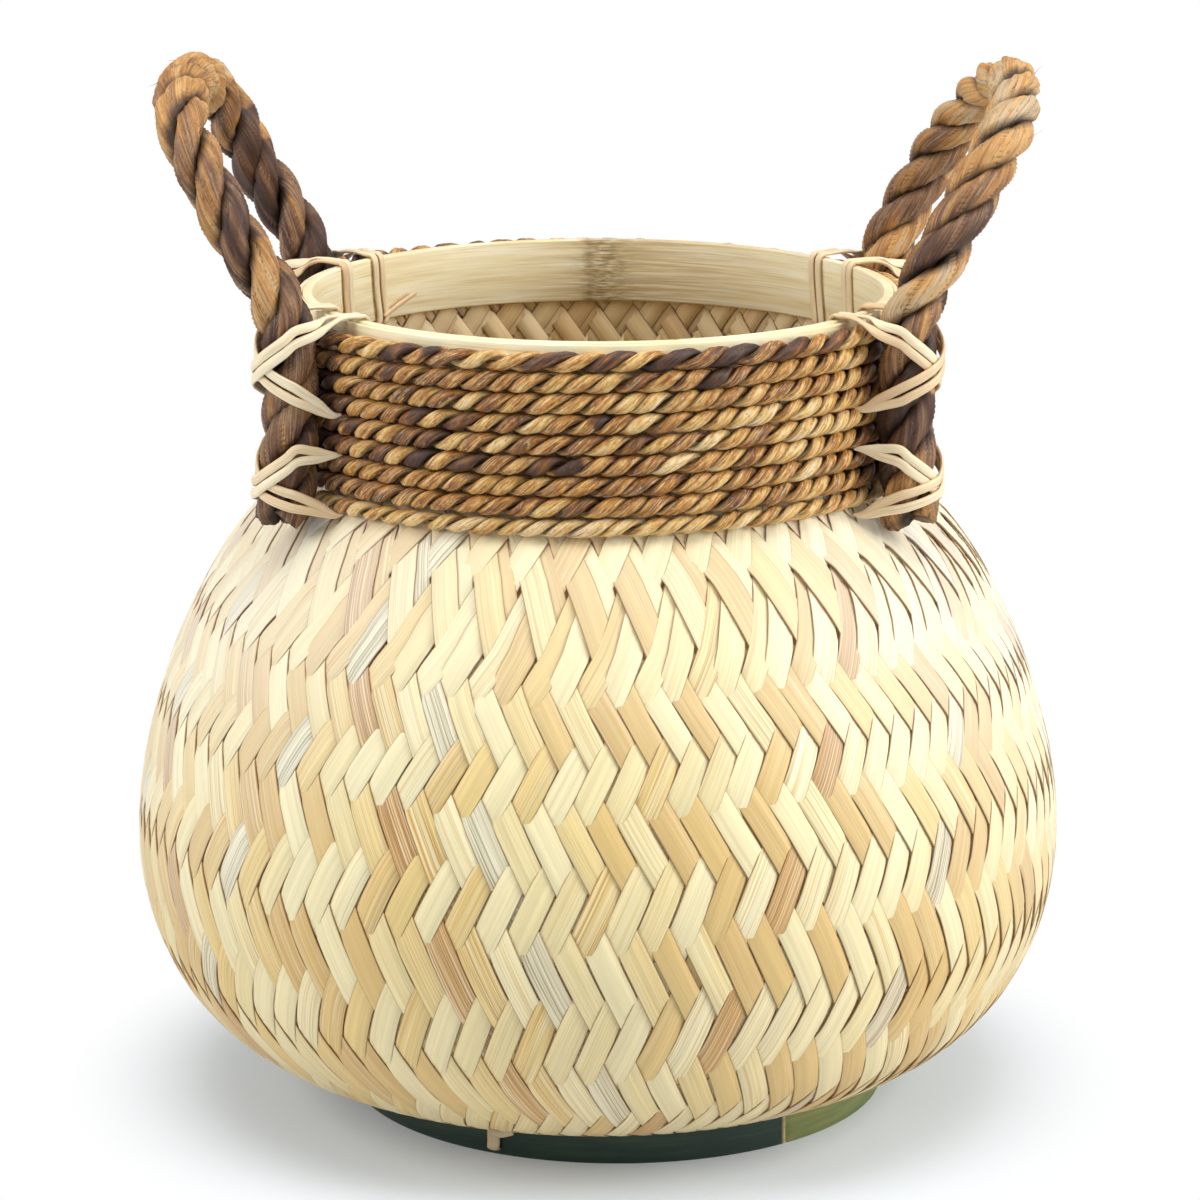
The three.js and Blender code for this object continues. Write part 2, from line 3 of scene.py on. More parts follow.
import bpy
import numpy as np
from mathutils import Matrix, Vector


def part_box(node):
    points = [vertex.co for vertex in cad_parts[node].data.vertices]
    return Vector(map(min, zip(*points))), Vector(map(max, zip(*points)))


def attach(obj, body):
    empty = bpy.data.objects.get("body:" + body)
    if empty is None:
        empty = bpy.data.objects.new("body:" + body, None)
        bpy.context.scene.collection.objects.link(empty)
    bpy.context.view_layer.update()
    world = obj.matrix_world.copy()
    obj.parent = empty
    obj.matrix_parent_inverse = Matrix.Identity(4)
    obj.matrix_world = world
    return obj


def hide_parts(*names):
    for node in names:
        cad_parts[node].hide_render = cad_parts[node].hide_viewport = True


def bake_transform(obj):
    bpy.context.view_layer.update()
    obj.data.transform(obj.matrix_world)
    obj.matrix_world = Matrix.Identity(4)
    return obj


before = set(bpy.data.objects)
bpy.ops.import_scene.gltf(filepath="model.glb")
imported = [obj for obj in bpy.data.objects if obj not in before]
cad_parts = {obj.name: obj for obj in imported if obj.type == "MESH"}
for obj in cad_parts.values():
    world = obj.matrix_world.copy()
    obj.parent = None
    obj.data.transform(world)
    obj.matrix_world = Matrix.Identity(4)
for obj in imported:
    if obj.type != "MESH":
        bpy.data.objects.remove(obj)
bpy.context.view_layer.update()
MM = 0.001
random = np.random.default_rng(23)

# Sizes that the frame gives
weave_low, weave_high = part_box("woven_body")
hoop_low, hoop_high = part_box("rim_inner_hoop")
strip_low, strip_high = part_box("rim_outer_strip")
foot_low, foot_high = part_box("foot_hoop")
BELLY_RADIUS = weave_high.x
BASE_HEIGHT = weave_low.z
WEAVE_TOP = weave_high.z
RIM_HEIGHT = hoop_high.z
HOOP_BOTTOM = hoop_low.z
HOOP_OUTER = hoop_high.x
FOOT_CENTRE = (foot_low.x + foot_high.x) / 2
FOOT_RADIUS = (foot_high.x - foot_low.x) / 2
FOOT_HEIGHT = foot_high.z

# Hoops
HOOP_INNER = HOOP_OUTER - 3.4 * MM
FOOT_INNER = FOOT_RADIUS - 4 * MM
HOOP_START = math.radians(-75)
HOOP_LAP = math.radians(22.5)  # the ends lie over each other this far
HOOP_TIP = 1.2 * MM  # the thickness that each end is shaved to

# The weave
CLEARANCE = 0.3 * MM
WEAVE_THICKNESS = 1.6 * MM
NECK_RADIUS = HOOP_OUTER + CLEARANCE + WEAVE_THICKNESS
BASE_RADIUS = 98.5 * MM
BELLY_HEIGHT = 102 * MM
SHOULDER_HEIGHT = 232.5 * MM
SHOULDER_FILLET = 1.5 * MM
BASE_FULLNESS, BASE_RISE, LOWER_BELLY_FULLNESS = 0.35, 0.04, 0.75
UPPER_BELLY_FULLNESS, SHOULDER_FULLNESS, SHOULDER_DROP = 0.18, 0.77, 0.28
STRIPS = 96  # in each of the two directions
# How many crossings lie below each length up the side: they get closer towards the top
CROSSINGS = [-3, 1, 5, 9, 13, 17, 19, 21, 30]
CROSSING_LENGTHS = np.array([-17, 43, 98.5, 147, 188.5, 226, 252, 271, 316]) * MM
PAIRED_FROM = 16.5  # above so many crossings the strips run two by two
PAIR_LIFT = 0.35 * MM
PAIR_SHIFT, PAIR_WIDENING = 0.18, 0.36  # as shares of a strip's own room
WEAVE_TURN = math.radians(-1.1)
STRIP_WIDTH = 10.2 * MM
STRIP_THICKNESS = 0.8 * MM
STRIP_LIFT = 0.56 * MM  # how far a strip rises over, or dips under, the middle of the weave
TURN_UNDER = 14 * MM  # length of each strip that is folded under the base
STATION = 2.2 * MM  # between cross-sections along a strip
STRIPS_PER_PIECE = 24

# Rope on the neck
NECK_ROPE = 7.2 * MM
NECK_PITCH = 7.22 * MM
NECK_FIRST_FRONT = SHOULDER_HEIGHT + 3.65 * MM
NECK_START, NECK_END = math.radians(-150), math.radians(150)
NECK_TURNS = 8
NECK_LEAD = 18 * MM
LOWEST_TURN_END, TOP_TURN_START = 0.6, 7.55  # in turns from the first front
TOP_TURN_LEAD = 22 * MM
NECK_SAG = 2.6 * MM  # the turns lie this much lower at the back
NECK_FLARE, NECK_FLARE_HEIGHT = 2.2 * MM, 5 * MM  # of the lowest turns, over the shoulder's foot
ROPE_STATION = 1.2 * MM  # between cross-sections along a rope

# Rope handles
HANDLE_ROPE = 20.5 * MM
HANDLE_LEAD = 54 * MM
LEG_ANGLE = math.radians(31.2)
LEG_ANGLES = {
    "right_front": -LEG_ANGLE,
    "right_rear": LEG_ANGLE,
    "left_rear": math.pi - LEG_ANGLE,
    "left_front": math.pi + LEG_ANGLE,
}
LEG_DISTANCE = 126.5 * MM
LEG_FOOT = 229 * MM
LEG_FLARE = 2.5 * MM
LEG_FLARE_HEIGHT = 27 * MM
HINGE_HEIGHT = RIM_HEIGHT + 2.5 * MM
HANDLE_LEAN = math.radians(30)
HANDLE_REACH = 82 * MM

# Rattan peel
PEEL_WIDTH = 3.4 * MM
PEEL_THICKNESS = 1.3 * MM
PAIR_SPREAD = 2.3 * MM  # of each strand of a pair from the middle of the pair
PEEL_TAPER = 9 * MM  # length over which a strand narrows to its point


def normalised(given):
    return given / np.linalg.norm(given, axis=-1, keepdims=True)


def vectors(along, across, depth):
    """Three values for each point, as one array of vectors."""
    return np.stack(np.broadcast_arrays(along, across, depth), axis=-1)


def polar(radius, angle, height):
    """Points at a radius and an angle round the basket's axis."""
    return vectors(radius * np.cos(angle), radius * np.sin(angle), height)


def square_to(along, given):
    """The given directions, each turned as little as makes it square to its along."""
    return normalised(given - along * np.sum(given * along, axis=1, keepdims=True))


def headings(path):
    """The way that a path goes at each of its points."""
    return normalised(np.gradient(path, axis=0))


def lengths_along(path):
    """How far along a path each of its points lies."""
    return np.concatenate([[0], np.cumsum(np.linalg.norm(np.diff(path, axis=0), axis=1))])


def resampled(path, step):
    """The path with its points spread evenly, about one step apart."""
    lengths = lengths_along(path)
    count = max(int(round(lengths[-1] / step)), 2)
    wanted = np.linspace(0, lengths[-1], count + 1)
    return np.stack([np.interp(wanted, lengths, path[:, axis]) for axis in range(path.shape[1])], axis=1)


def smoothed(path, passes):
    """The path with its corners rounded. Its ends stay."""
    for _ in range(passes):
        path[1:-1] = (path[:-2] + 2 * path[1:-1] + path[2:]) / 4
    return path


def slow_noise(places, length):
    """A smooth wandering value, about -1 to 1, along places; length is its coarsest wave."""
    waves = [(1.0, 0.5), (0.53, 0.3), (0.27, 0.2)]
    return sum(
        share * np.sin(2 * np.pi * places / (length * scale) + phase)
        for (scale, share), phase in zip(waves, random.uniform(0, 2 * np.pi, 3), strict=True)
    )


# Meshes


def in_scene(name, data):
    """A new object in the scene."""
    made = bpy.data.objects.new(name, data)
    bpy.context.scene.collection.objects.link(made)
    return made


def loft_piece(name, lofts, finish):
    """One mesh of closed skins. Each loft has rings of points, which run anticlockwise about
    the way they go, and named traits, one vector for each point, which the finish reads."""
    points, quads, ends, traits = [], [], [], {}
    start = 0
    for rings, named in lofts:
        count, sides, _ = rings.shape
        points.append(rings.reshape(-1, 3))
        here = start + np.arange((count - 1) * sides).reshape(count - 1, sides)
        beside = np.roll(here, -1, axis=1)
        quads.append(np.stack([here, beside, beside + sides, here + sides], axis=-1).reshape(-1, 4))
        ends.append(start + np.arange(sides)[::-1])
        ends.append(start + (count - 1) * sides + np.arange(sides))
        for trait, values in named.items():
            traits.setdefault(trait, []).append(np.broadcast_to(values, rings.shape).reshape(-1, 3))
        start += count * sides
    points = np.concatenate(points)
    quads = np.concatenate(quads)
    corners = np.concatenate([quads.ravel(), *ends])
    sizes = np.concatenate([np.full(len(quads), 4), [len(end) for end in ends]])
    mesh = bpy.data.meshes.new(name)
    mesh.vertices.add(len(points))
    mesh.vertices.foreach_set("co", points.astype(np.float32).ravel())
    mesh.loops.add(len(corners))
    mesh.loops.foreach_set("vertex_index", corners.astype(np.int32))
    mesh.polygons.add(len(sizes))
    mesh.polygons.foreach_set("loop_start", np.concatenate([[0], np.cumsum(sizes)[:-1]]).astype(np.int32))
    mesh.update(calc_edges=True)
    for trait, values in traits.items():
        layer = mesh.attributes.new(trait, "FLOAT_VECTOR", "POINT")
        layer.data.foreach_set("vector", np.concatenate(values).astype(np.float32).ravel())
    mesh.shade_smooth()
    mesh.materials.append(finish)
    return in_scene(name, mesh)


# The woven body


def bezier(start, start_handle, end_handle, end):
    """A curve from start to end, with a handle at each, as 400 points."""
    t = np.linspace(0, 1, 400)[:, None]
    weights = [(1 - t) ** 3, 3 * (1 - t) ** 2 * t, 3 * (1 - t) * t**2, t**3]
    return sum(w * np.array(p) for w, p in zip(weights, (start, start_handle, end_handle, end), strict=True))


def weave_profile():
    """Radius and height along the middle of the weave, from under the base to the cut top edge."""
    lower_rise = BELLY_HEIGHT - BASE_HEIGHT
    lower_spread = BELLY_RADIUS - BASE_RADIUS
    shoulder_radius = NECK_RADIUS + SHOULDER_FILLET
    upper_rise = SHOULDER_HEIGHT - BELLY_HEIGHT
    upper_spread = BELLY_RADIUS - shoulder_radius
    lower = bezier(
        (BASE_RADIUS, BASE_HEIGHT),
        (BASE_RADIUS + BASE_FULLNESS * lower_spread, BASE_HEIGHT + BASE_RISE * lower_rise),
        (BELLY_RADIUS, BELLY_HEIGHT - LOWER_BELLY_FULLNESS * lower_rise),
        (BELLY_RADIUS, BELLY_HEIGHT),
    )
    upper = bezier(
        (BELLY_RADIUS, BELLY_HEIGHT),
        (BELLY_RADIUS, BELLY_HEIGHT + UPPER_BELLY_FULLNESS * upper_rise),
        (shoulder_radius + SHOULDER_FULLNESS * upper_spread, SHOULDER_HEIGHT - SHOULDER_DROP * upper_rise),
        (shoulder_radius, SHOULDER_HEIGHT),
    )
    under = [(BASE_RADIUS - TURN_UNDER, BASE_HEIGHT)]
    neck = [(NECK_RADIUS, SHOULDER_HEIGHT + 4 * SHOULDER_FILLET), (NECK_RADIUS, WEAVE_TOP)]
    outside = resampled(np.vstack([under, lower, upper[1:], neck]), 0.5 * MM)
    outside = smoothed(outside, 12)
    along = headings(outside)
    outward = np.stack([along[:, 1], -along[:, 0]], axis=1)
    middle = outside - outward * WEAVE_THICKNESS / 2
    return lengths_along(middle) - TURN_UNDER, middle, outward


arc, weave_middle, weave_outward = weave_profile()
SHOULDER_LENGTH = np.interp(SHOULDER_HEIGHT, weave_middle[:, 1], arc)


def on_weave(length, angle, lift):
    """Points on the weave at lengths up its side and angles round it, lifted off its middle."""
    radius = np.interp(length, arc, weave_middle[:, 0])
    height = np.interp(length, arc, weave_middle[:, 1])
    out = np.interp(length, arc, weave_outward[:, 0])
    up = np.interp(length, arc, weave_outward[:, 1])
    radius = radius + lift * out
    return polar(radius, angle, height + lift * up)


def crossings_at(length, angle):
    """How many crossings lie below a place. The rows are hand woven, so they wave a little."""
    level = np.interp(length, CROSSING_LENGTHS, CROSSINGS)
    return level + 0.14 * np.sin(3 * angle + 1) + 0.09 * np.sin(8 * angle + 2)


def over_under(crossings):
    """1 where a strip lies over the ones that cross it and -1 where it lies under, two and
    two. It dives a little before it gets under the next strip."""
    dive_middle, dive = 0.88, 0.36  # its place and its length, counted in crossings
    from_middle = np.abs((crossings + 1.5) % 4 - 2)
    return np.sin(np.pi / 2 * np.clip((dive_middle - from_middle) / dive, -1, 1))


# A strip's cross-section, anticlockwise from the edge of its outer face: places from edge to
# edge and through its thickness, as shares of half its width and of its whole thickness
SECTION_ACROSS = np.array([1, 0.93, 0, -0.93, -1, -1, 0, 1])
SECTION_HEIGHT = np.array([0.25, 0.5, 0.53, 0.5, 0.25, -0.4, -0.5, -0.4])

# Shares of the strips in each tone of the finish's ramp, from cream to red brown
TONE_SHARES = {0.02: 0.26, 0.2: 0.28, 0.38: 0.15, 0.54: 0.19, 0.7: 0.05, 0.85: 0.06, 1.0: 0.01}
STREAKED_FROM = 0.6  # the tones from here on are boldly streaked


def strip_traits(along, across, half_width, rise, flank):
    """Where each point lies on its strip, the strip's own tone and how streaky it is, how far
    up the basket the point is, which is 0 at the base, 1 at the shoulder and 2 at the rim,
    and how far round on the left or right flank, above the base."""
    tone = random.choice(list(TONE_SHARES), p=list(TONE_SHARES.values())) + random.normal(0, 0.03)
    streaks = random.beta(1.2, 2.6) if tone < STREAKED_FROM else random.uniform(0.6, 1)
    seed = random.uniform(0, 900)
    return {
        "grain": vectors(along, across, seed),
        "split": vectors(tone, streaks, np.abs(across) / half_width),
        "place": vectors(rise, flank, 0.0),
    }


def woven_strip(index, direction):
    """One strip from under the base to the top. direction is 1 where it climbs to the right,
    seen from outside, and -1 where it climbs to the left."""
    centre = np.arange(-TURN_UNDER, arc[-1] + STATION / 2, STATION)
    radius = np.interp(centre, arc, weave_middle[:, 0])
    half_pitch = np.pi / STRIPS
    first = 2 * half_pitch * index + WEAVE_TURN
    turned = first + 0 * centre
    for _ in range(3):
        turned = first + direction * half_pitch * crossings_at(centre, turned)
    climb = np.abs(np.gradient(turned, centre))
    slant = np.hypot(1, radius * climb)
    level, steep = radius * climb / slant, 1 / slant
    spacing = 2 * half_pitch * radius * steep
    # Near the neck the strips run in pairs, close together and partly over one another
    paired = np.clip((crossings_at(centre, turned) - PAIRED_FROM + 2) / 4, 0, 1)
    paired = paired**2 * (3 - 2 * paired)
    under_its_partner = index % 2 == 0
    to_partner = direction if under_its_partner else -direction
    own_width = STRIP_WIDTH * np.clip(random.normal(0.94, 0.04), 0.87, 1.0)
    width = np.clip(own_width, 0.92 * spacing, (1 + PAIR_WIDENING * paired) * spacing)
    wander = 0.4 * MM * slow_noise(centre, 130 * MM)
    turned = turned + (wander + to_partner * PAIR_SHIFT * paired * spacing / steep) / radius
    across = SECTION_ACROSS * width[:, None] / 2
    length = centre[:, None] + across * direction * level[:, None]
    angle = turned[:, None] - across * steep[:, None] / radius[:, None]
    other = (angle - WEAVE_TURN) / (2 * half_pitch) + direction * crossings_at(length, angle) / 2
    crossings = direction * (other - index)
    if under_its_partner:
        crossings = crossings - np.clip(crossings - PAIRED_FROM, 0, 1)
    loose = np.clip(slow_noise(centre, 90 * MM) - 0.35, 0, 1)
    stacked = PAIR_LIFT * paired * (-1 if under_its_partner else 1)
    tilt = across * (0.02 + 0.08 * loose)[:, None] + stacked[:, None]
    lift = direction * STRIP_LIFT * over_under(crossings) + tilt + SECTION_HEIGHT * STRIP_THICKNESS
    rings = on_weave(length, angle, lift)
    rise = np.interp(centre, [0, SHOULDER_LENGTH, arc[-1]], [0, 1, 2])
    flank = np.cos(turned) ** 2 * np.clip((rise - 0.25) / 0.6, 0, 1)
    return rings, strip_traits(centre[:, None], across, width[:, None] / 2, rise[:, None], flank[:, None])


def woven_body(finish):
    pieces = []
    for direction, name in ((1, "rising_strips"), (-1, "falling_strips")):
        for first in range(0, STRIPS, STRIPS_PER_PIECE):
            lofts = [woven_strip(index, direction) for index in range(first, first + STRIPS_PER_PIECE)]
            piece = loft_piece(f"{name}_{first // STRIPS_PER_PIECE + 1}", lofts, finish)
            pieces.append(piece)
    pieces.append(base_mat(finish))
    for piece in pieces:
        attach(piece, "root")
        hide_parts("woven_body")


def base_mat(finish):
    """The flat bottom: the same twill, square to itself, cut round where the side turns up."""
    reach = BASE_RADIUS - 3 * MM
    pitch = 9.2 * MM
    over_the_fold = 1.2 * MM
    middle = BASE_HEIGHT + WEAVE_THICKNESS / 2 + over_the_fold
    lofts = []
    for direction in (1, -1):
        for index in range(-int(reach / pitch), int(reach / pitch) + 1):
            offset = index * pitch
            half_length = math.sqrt(reach**2 - offset**2) - 1 * MM
            centre = np.arange(-half_length, half_length, STATION)[:, None]
            across = SECTION_ACROSS * STRIP_WIDTH / 2
            crossings = direction * (centre / pitch - index)
            lift = direction * STRIP_LIFT * over_under(crossings) + 0.03 * across
            height = middle + lift + SECTION_HEIGHT * STRIP_THICKNESS
            side = offset + across
            rings = vectors(centre, side, height) if direction == 1 else vectors(-side, centre, height)
            lofts.append((rings, strip_traits(centre, across, STRIP_WIDTH / 2, 0.0, 0.0)))
    return loft_piece("base_mat", lofts, finish)


# Hoops


def hoop_loft(angles, inside, outside, bottom, top, rounding, centre_x=0.0):
    """A band round the basket's axis with rounded edges, from arrays of its inner and outer
    radius at each angle. Also the radius of each of its points, and its grain."""
    middle = (inside + outside)[:, None] / 2
    half = (outside - inside)[:, None] / 2
    tall = (top - bottom) / 2
    corner = np.minimum(half * 0.9, rounding)
    out, up = [], []
    for start, side, rise in ((0, 1, 1), (90, 1, -1), (180, -1, -1), (270, -1, 1)):
        round_angle = math.radians(start) + np.radians([0, 45, 90])
        out.append(side * (half - corner) + corner * np.sin(round_angle))
        up.append(rise * (tall - corner) + corner * np.cos(round_angle))
    up = np.concatenate(up, axis=1)
    radius = middle + np.concatenate(out, axis=1)
    turned = angles[:, None]
    rings = polar(radius, turned, (top + bottom) / 2 + up) + [centre_x, 0, 0]
    return rings, radius, vectors(turned * radius, up, radius)


def lapped_radii(inner, outer):
    """Angles round a hoop whose ends are shaved thin and lie over each other, and its inner
    and outer radius at each."""
    end = HOOP_START + 2 * np.pi + HOOP_LAP
    angles = np.linspace(HOOP_START, end, 361)
    shave = outer - inner - 2 * HOOP_TIP - CLEARANCE
    from_start = (angles - HOOP_START) / HOOP_LAP
    from_end = (angles - (end - HOOP_LAP)) / HOOP_LAP
    outside = np.where(from_start < 1, inner + HOOP_TIP + shave * from_start, outer)
    inside = np.where(from_end > 0, inner + HOOP_TIP + shave * from_end + CLEARANCE, inner)
    return angles, inside, outside


def rim_hoop(finish):
    """The broad split of bamboo inside the rim. A node of the culm shows at the back: a dark
    patch and a line, in a brown stain that reaches further to the right."""
    angles, inside, outside = lapped_radii(HOOP_INNER, HOOP_OUTER)
    rings, radius, grain = hoop_loft(angles, inside, outside, HOOP_BOTTOM, RIM_HEIGHT, 0.7 * MM)
    node_angle = math.radians(88.5)
    past_node = (angles[:, None] - node_angle) * radius
    stain_reach = np.where(past_node > 0, 26 * MM, 62 * MM)
    stain = np.exp(-((past_node / stain_reach) ** 2))
    patch = np.exp(-((past_node / (9 * MM)) ** 2))
    line = np.exp(-(((past_node - 6 * MM) / (2 * MM)) ** 2))
    traits = {"grain": grain * [1, 1, 60] + [0, 0, 3.7], "split": vectors(patch, stain, line)}
    piece = loft_piece("rim_hoop", [(rings, traits)], finish)
    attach(piece, "root")
    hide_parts("rim_inner_hoop")


def rim_strip(finish):
    """The thin strip outside the rim, open where its two cut ends meet."""
    end = math.radians(-37.5)
    open_angle = math.radians(7.5)
    angles = np.linspace(end + open_angle, end + 2 * np.pi, 300)
    inside = np.full(len(angles), NECK_RADIUS - WEAVE_THICKNESS)
    thickness = 1.7 * MM
    outside = inside + thickness
    rings, _, grain = hoop_loft(angles, inside, outside, strip_low.z, strip_high.z, 0.4 * MM)
    traits = {"grain": grain * [1, 1, 60] + [0, 0, 41.0], "split": vectors(0.0, 0.0, 0.0)}
    piece = loft_piece("rim_strip", [(rings, traits)], finish)
    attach(piece, "root")
    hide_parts("rim_outer_strip")


def foot_ring(finish):
    """The hoop of unpeeled bamboo that the basket stands on. Its skin goes from olive at
    the inner end of the lap to dark green at the outer end, whose cut shows the pale wood."""
    angles, inside, outside = lapped_radii(FOOT_INNER, FOOT_RADIUS)
    rings, radius, grain = hoop_loft(angles, inside, outside, 0.0, FOOT_HEIGHT, 0.6 * MM, FOOT_CENTRE)
    skin_depth = 0.75 * MM
    skin = (radius > (outside[:, None] - skin_depth)).astype(float)
    skin[-1] = 0
    from_lap = angles[:, None] - HOOP_START - HOOP_LAP
    aged = np.clip(from_lap / math.radians(150), 0, 1)
    traits = {"grain": grain * [1, 1, 40] + [0, 0, 77.0], "split": vectors(skin, aged, 0.0)}
    piece = loft_piece("foot_ring", [(rings, traits)], finish)
    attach(piece, "root")
    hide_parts("foot_hoop")


# Rattan peel


def spline(stations):
    """A smooth curve through the stations (Catmull-Rom)."""
    parts = 7  # between two stations
    padded = np.vstack([2 * stations[0] - stations[1], stations, 2 * stations[-1] - stations[-2]])
    t = np.linspace(0, 1, parts, endpoint=False)[:, None]
    pieces = []
    for a, b, c, d in zip(padded[:-3], padded[1:-2], padded[2:-1], padded[3:], strict=True):
        bend = 2 * a - 5 * b + 4 * c - d
        pieces.append(b + 0.5 * t * (c - a) + 0.5 * t**2 * bend + 0.5 * t**3 * (3 * b - a - 3 * c + d))
    return np.vstack([*pieces, padded[-2:-1]])


def peel_loft(stations, width, pointed=(False, False)):
    """A strand of rattan peel, flat inside and rounded outside. Each station is a place and
    the way that the outside of the strand faces there. pointed says whether the strand's
    start and its end narrow to a point."""
    path, face = (spline(np.array(side)) for side in zip(*stations, strict=True))
    along = headings(path)
    face = square_to(along, face)
    side = np.cross(along, face)
    across = np.array([-1, -0.92, -0.55, 0, 0.55, 0.92, 1, 0.7, -0.7])
    out = np.array([-0.1, 0.2, 0.46, 0.55, 0.46, 0.2, -0.1, -0.45, -0.45])
    lengths = lengths_along(path)
    own_width = width * (1 + 0.06 * slow_noise(np.arange(len(path)) / len(path), 0.7))
    for narrows, from_tip in zip(pointed, (lengths, lengths[-1] - lengths), strict=True):
        if narrows:
            own_width = own_width * np.clip(0.3 + 0.7 * from_tip / PEEL_TAPER, 0, 1)
    edge = across[None, :, None] * own_width[:, None, None] / 2 * side[:, None, :]
    rings = path[:, None, :] + edge + out[None, :, None] * PEEL_THICKNESS * face[:, None, :]
    rings = rings[:, ::-1]
    tone = random.uniform(0, 1)
    traits = {
        "grain": vectors(lengths[:, None], across[None, ::-1] * width / 2, random.uniform(0, 900)),
        "split": vectors(tone, random.uniform(0.2, 0.8), np.abs(across[None, ::-1])),
    }
    return rings, traits


peel_seat = CLEARANCE + PEEL_THICKNESS / 2
leg_radius = HANDLE_ROPE / 2
winding_outer = NECK_RADIUS + CLEARANCE + NECK_ROPE
LEG_TURN = math.asin(leg_radius / winding_outer)  # from a leg's middle to its flank
OUT, SIDEWAYS, UP = np.eye(3)


def leg_distance_at(height):
    down = np.clip(1 - (height - LEG_FOOT) / LEG_FLARE_HEIGHT, 0, 1)
    return LEG_DISTANCE + LEG_FLARE * down**2


def over_leg(side, heights):
    """Stations over the outside of a leg in the leg's frame, where X runs outward through it.
    heights are those at its near flank, on its outermost line and at its far flank. The
    strands that come from one side lie over those that come from the other."""
    wrap = math.radians(76)
    lift = 0.5 * PEEL_THICKNESS * (1 + side)
    stations = []
    for way in np.linspace(0, 1, 9):
        angle = side * wrap * (1 - 2 * way)
        height = np.interp(way, [0, 0.5, 1], heights)
        away = np.array([math.cos(angle), math.sin(angle), 0.0])
        hug = leg_radius + peel_seat + 0.1 * MM + lift * math.sin(math.pi * way)
        stations.append((np.array([leg_distance_at(height), 0, height]) + away * hug, away))
    return stations


def around(radius, sideways, height):
    return np.array([math.sqrt(radius**2 - sideways**2), sideways, height])


def turns_at(angle):
    """How many turns of the neck rope lie between its first front and an angle."""
    return (angle + math.pi / 2) / (2 * math.pi)


def neck_rope_height(angle):
    """The height of the neck rope's middle at an angle."""
    return NECK_FIRST_FRONT + NECK_PITCH * turns_at(angle) - NECK_SAG * (1 + np.sin(angle)) / 2


def between_turns(angle, height):
    """The height nearest to this one where two turns of the neck rope meet."""
    turn = neck_rope_height(angle)
    return turn + (round((height - turn) / NECK_PITCH - 0.5) + 0.5) * NECK_PITCH


def into_the_rope(side, flank_height, height, shift):
    """Stations from a leg's flank in to the neck rope, where both strands of a pair come
    together and go out of sight."""
    halfway = (flank_height + height) / 2
    places = [
        np.array([LEG_DISTANCE - 4 * MM, side * (leg_radius + 1.3 * MM), halfway + 0.6 * shift]),
        around(winding_outer + 0.9 * MM, side * (leg_radius + 2.4 * MM), height + 0.2 * shift),
        around(winding_outer - 2.5 * MM, side * (leg_radius + 3.2 * MM), height),
    ]
    return [(place, np.array([out, side, 0.0])) for place, out in zip(places, (0.2, 0.5, 0.5), strict=True)]


def upper_strand(side, which, leg_angle):
    """A strand from under the rim hoop, up its inner face, over the rim and across the leg.
    The strand that lies further from the leg on the rim is the lower one on the leg."""
    lean = 1.5 * MM
    sideways = side * (10.5 + 1.9 * which) * MM
    shift = -which * PAIR_SPREAD
    inner = HOOP_INNER - peel_seat
    crest = RIM_HEIGHT + peel_seat + 0.5 * MM
    beside_leg = leg_radius + (2 + 0.8 * which) * MM
    beside = np.array([LEG_DISTANCE - 4 * MM, side * beside_leg, RIM_HEIGHT - 2 * MM + 0.7 * shift])
    stations = [
        (around(HOOP_OUTER - 1.5 * MM, sideways - lean, HOOP_BOTTOM - peel_seat - 0.4 * MM), -UP),
        (around(inner + 0.6 * MM, sideways - lean, HOOP_BOTTOM - peel_seat), -OUT - UP),
        (around(inner, sideways - lean, HOOP_BOTTOM + 2 * MM), -OUT),
        (around(inner, sideways, (HOOP_BOTTOM + RIM_HEIGHT) / 2), -OUT),
        (around(inner, sideways + lean / 2, RIM_HEIGHT - 2 * MM), -OUT),
        (around(HOOP_INNER + 0.4 * MM, sideways + lean / 2, crest - 0.3 * MM), UP - OUT),
        (around(HOOP_OUTER - 0.4 * MM, sideways + lean / 2, crest), UP),
        (around(winding_outer - 3.5 * MM, 1.1 * sideways, crest + 0.2 * MM), UP),
        (around(winding_outer + 1.5 * MM, 1.15 * sideways, crest - 0.8 * MM + 0.3 * shift), UP + OUT),
        (beside, np.array([0.3, side, 0.5])),
    ]
    heights = RIM_HEIGHT - np.array([4.1, 16.1, 24.5]) * MM
    leg = over_leg(side, heights + shift)
    end = between_turns(leg_angle - side * LEG_TURN, RIM_HEIGHT - 30 * MM)
    sunk = into_the_rope(-side, heights[2], end, shift)
    return peel_loft([*stations, *leg, *sunk], PEEL_WIDTH, pointed=(False, True))


def lower_strand(side, which, leg_angle):
    """A strand from between two turns of the neck rope, across the leg, to the rope's foot."""
    shift = which * PAIR_SPREAD
    heights = SHOULDER_HEIGHT + np.array([21, 9.5, 4.6]) * MM
    leg = over_leg(side, heights + shift)
    start = between_turns(leg_angle + side * LEG_TURN, SHOULDER_HEIGHT + 20 * MM)
    risen = into_the_rope(side, heights[0], start, shift)[::-1]
    sunk = into_the_rope(-side, heights[2], SHOULDER_HEIGHT - 1.3 * MM, shift)
    return peel_loft([*risen, *leg, *sunk], PEEL_WIDTH, pointed=(True, True))


def loose_tail():
    """The cut end of an upper strand. It sticks out from under the lashing, over the hoop's
    inner face."""
    stations = [
        (around(HOOP_INNER - peel_seat - lifted * MM, -sideways * MM, HOOP_BOTTOM + height * MM), -OUT)
        for lifted, sideways, height in ((0.2, 12, 1.5), (0.8, 17, 4), (1.3, 22, 6.4), (1.6, 27, 8.6))
    ]
    return peel_loft(stations, 2 * MM)


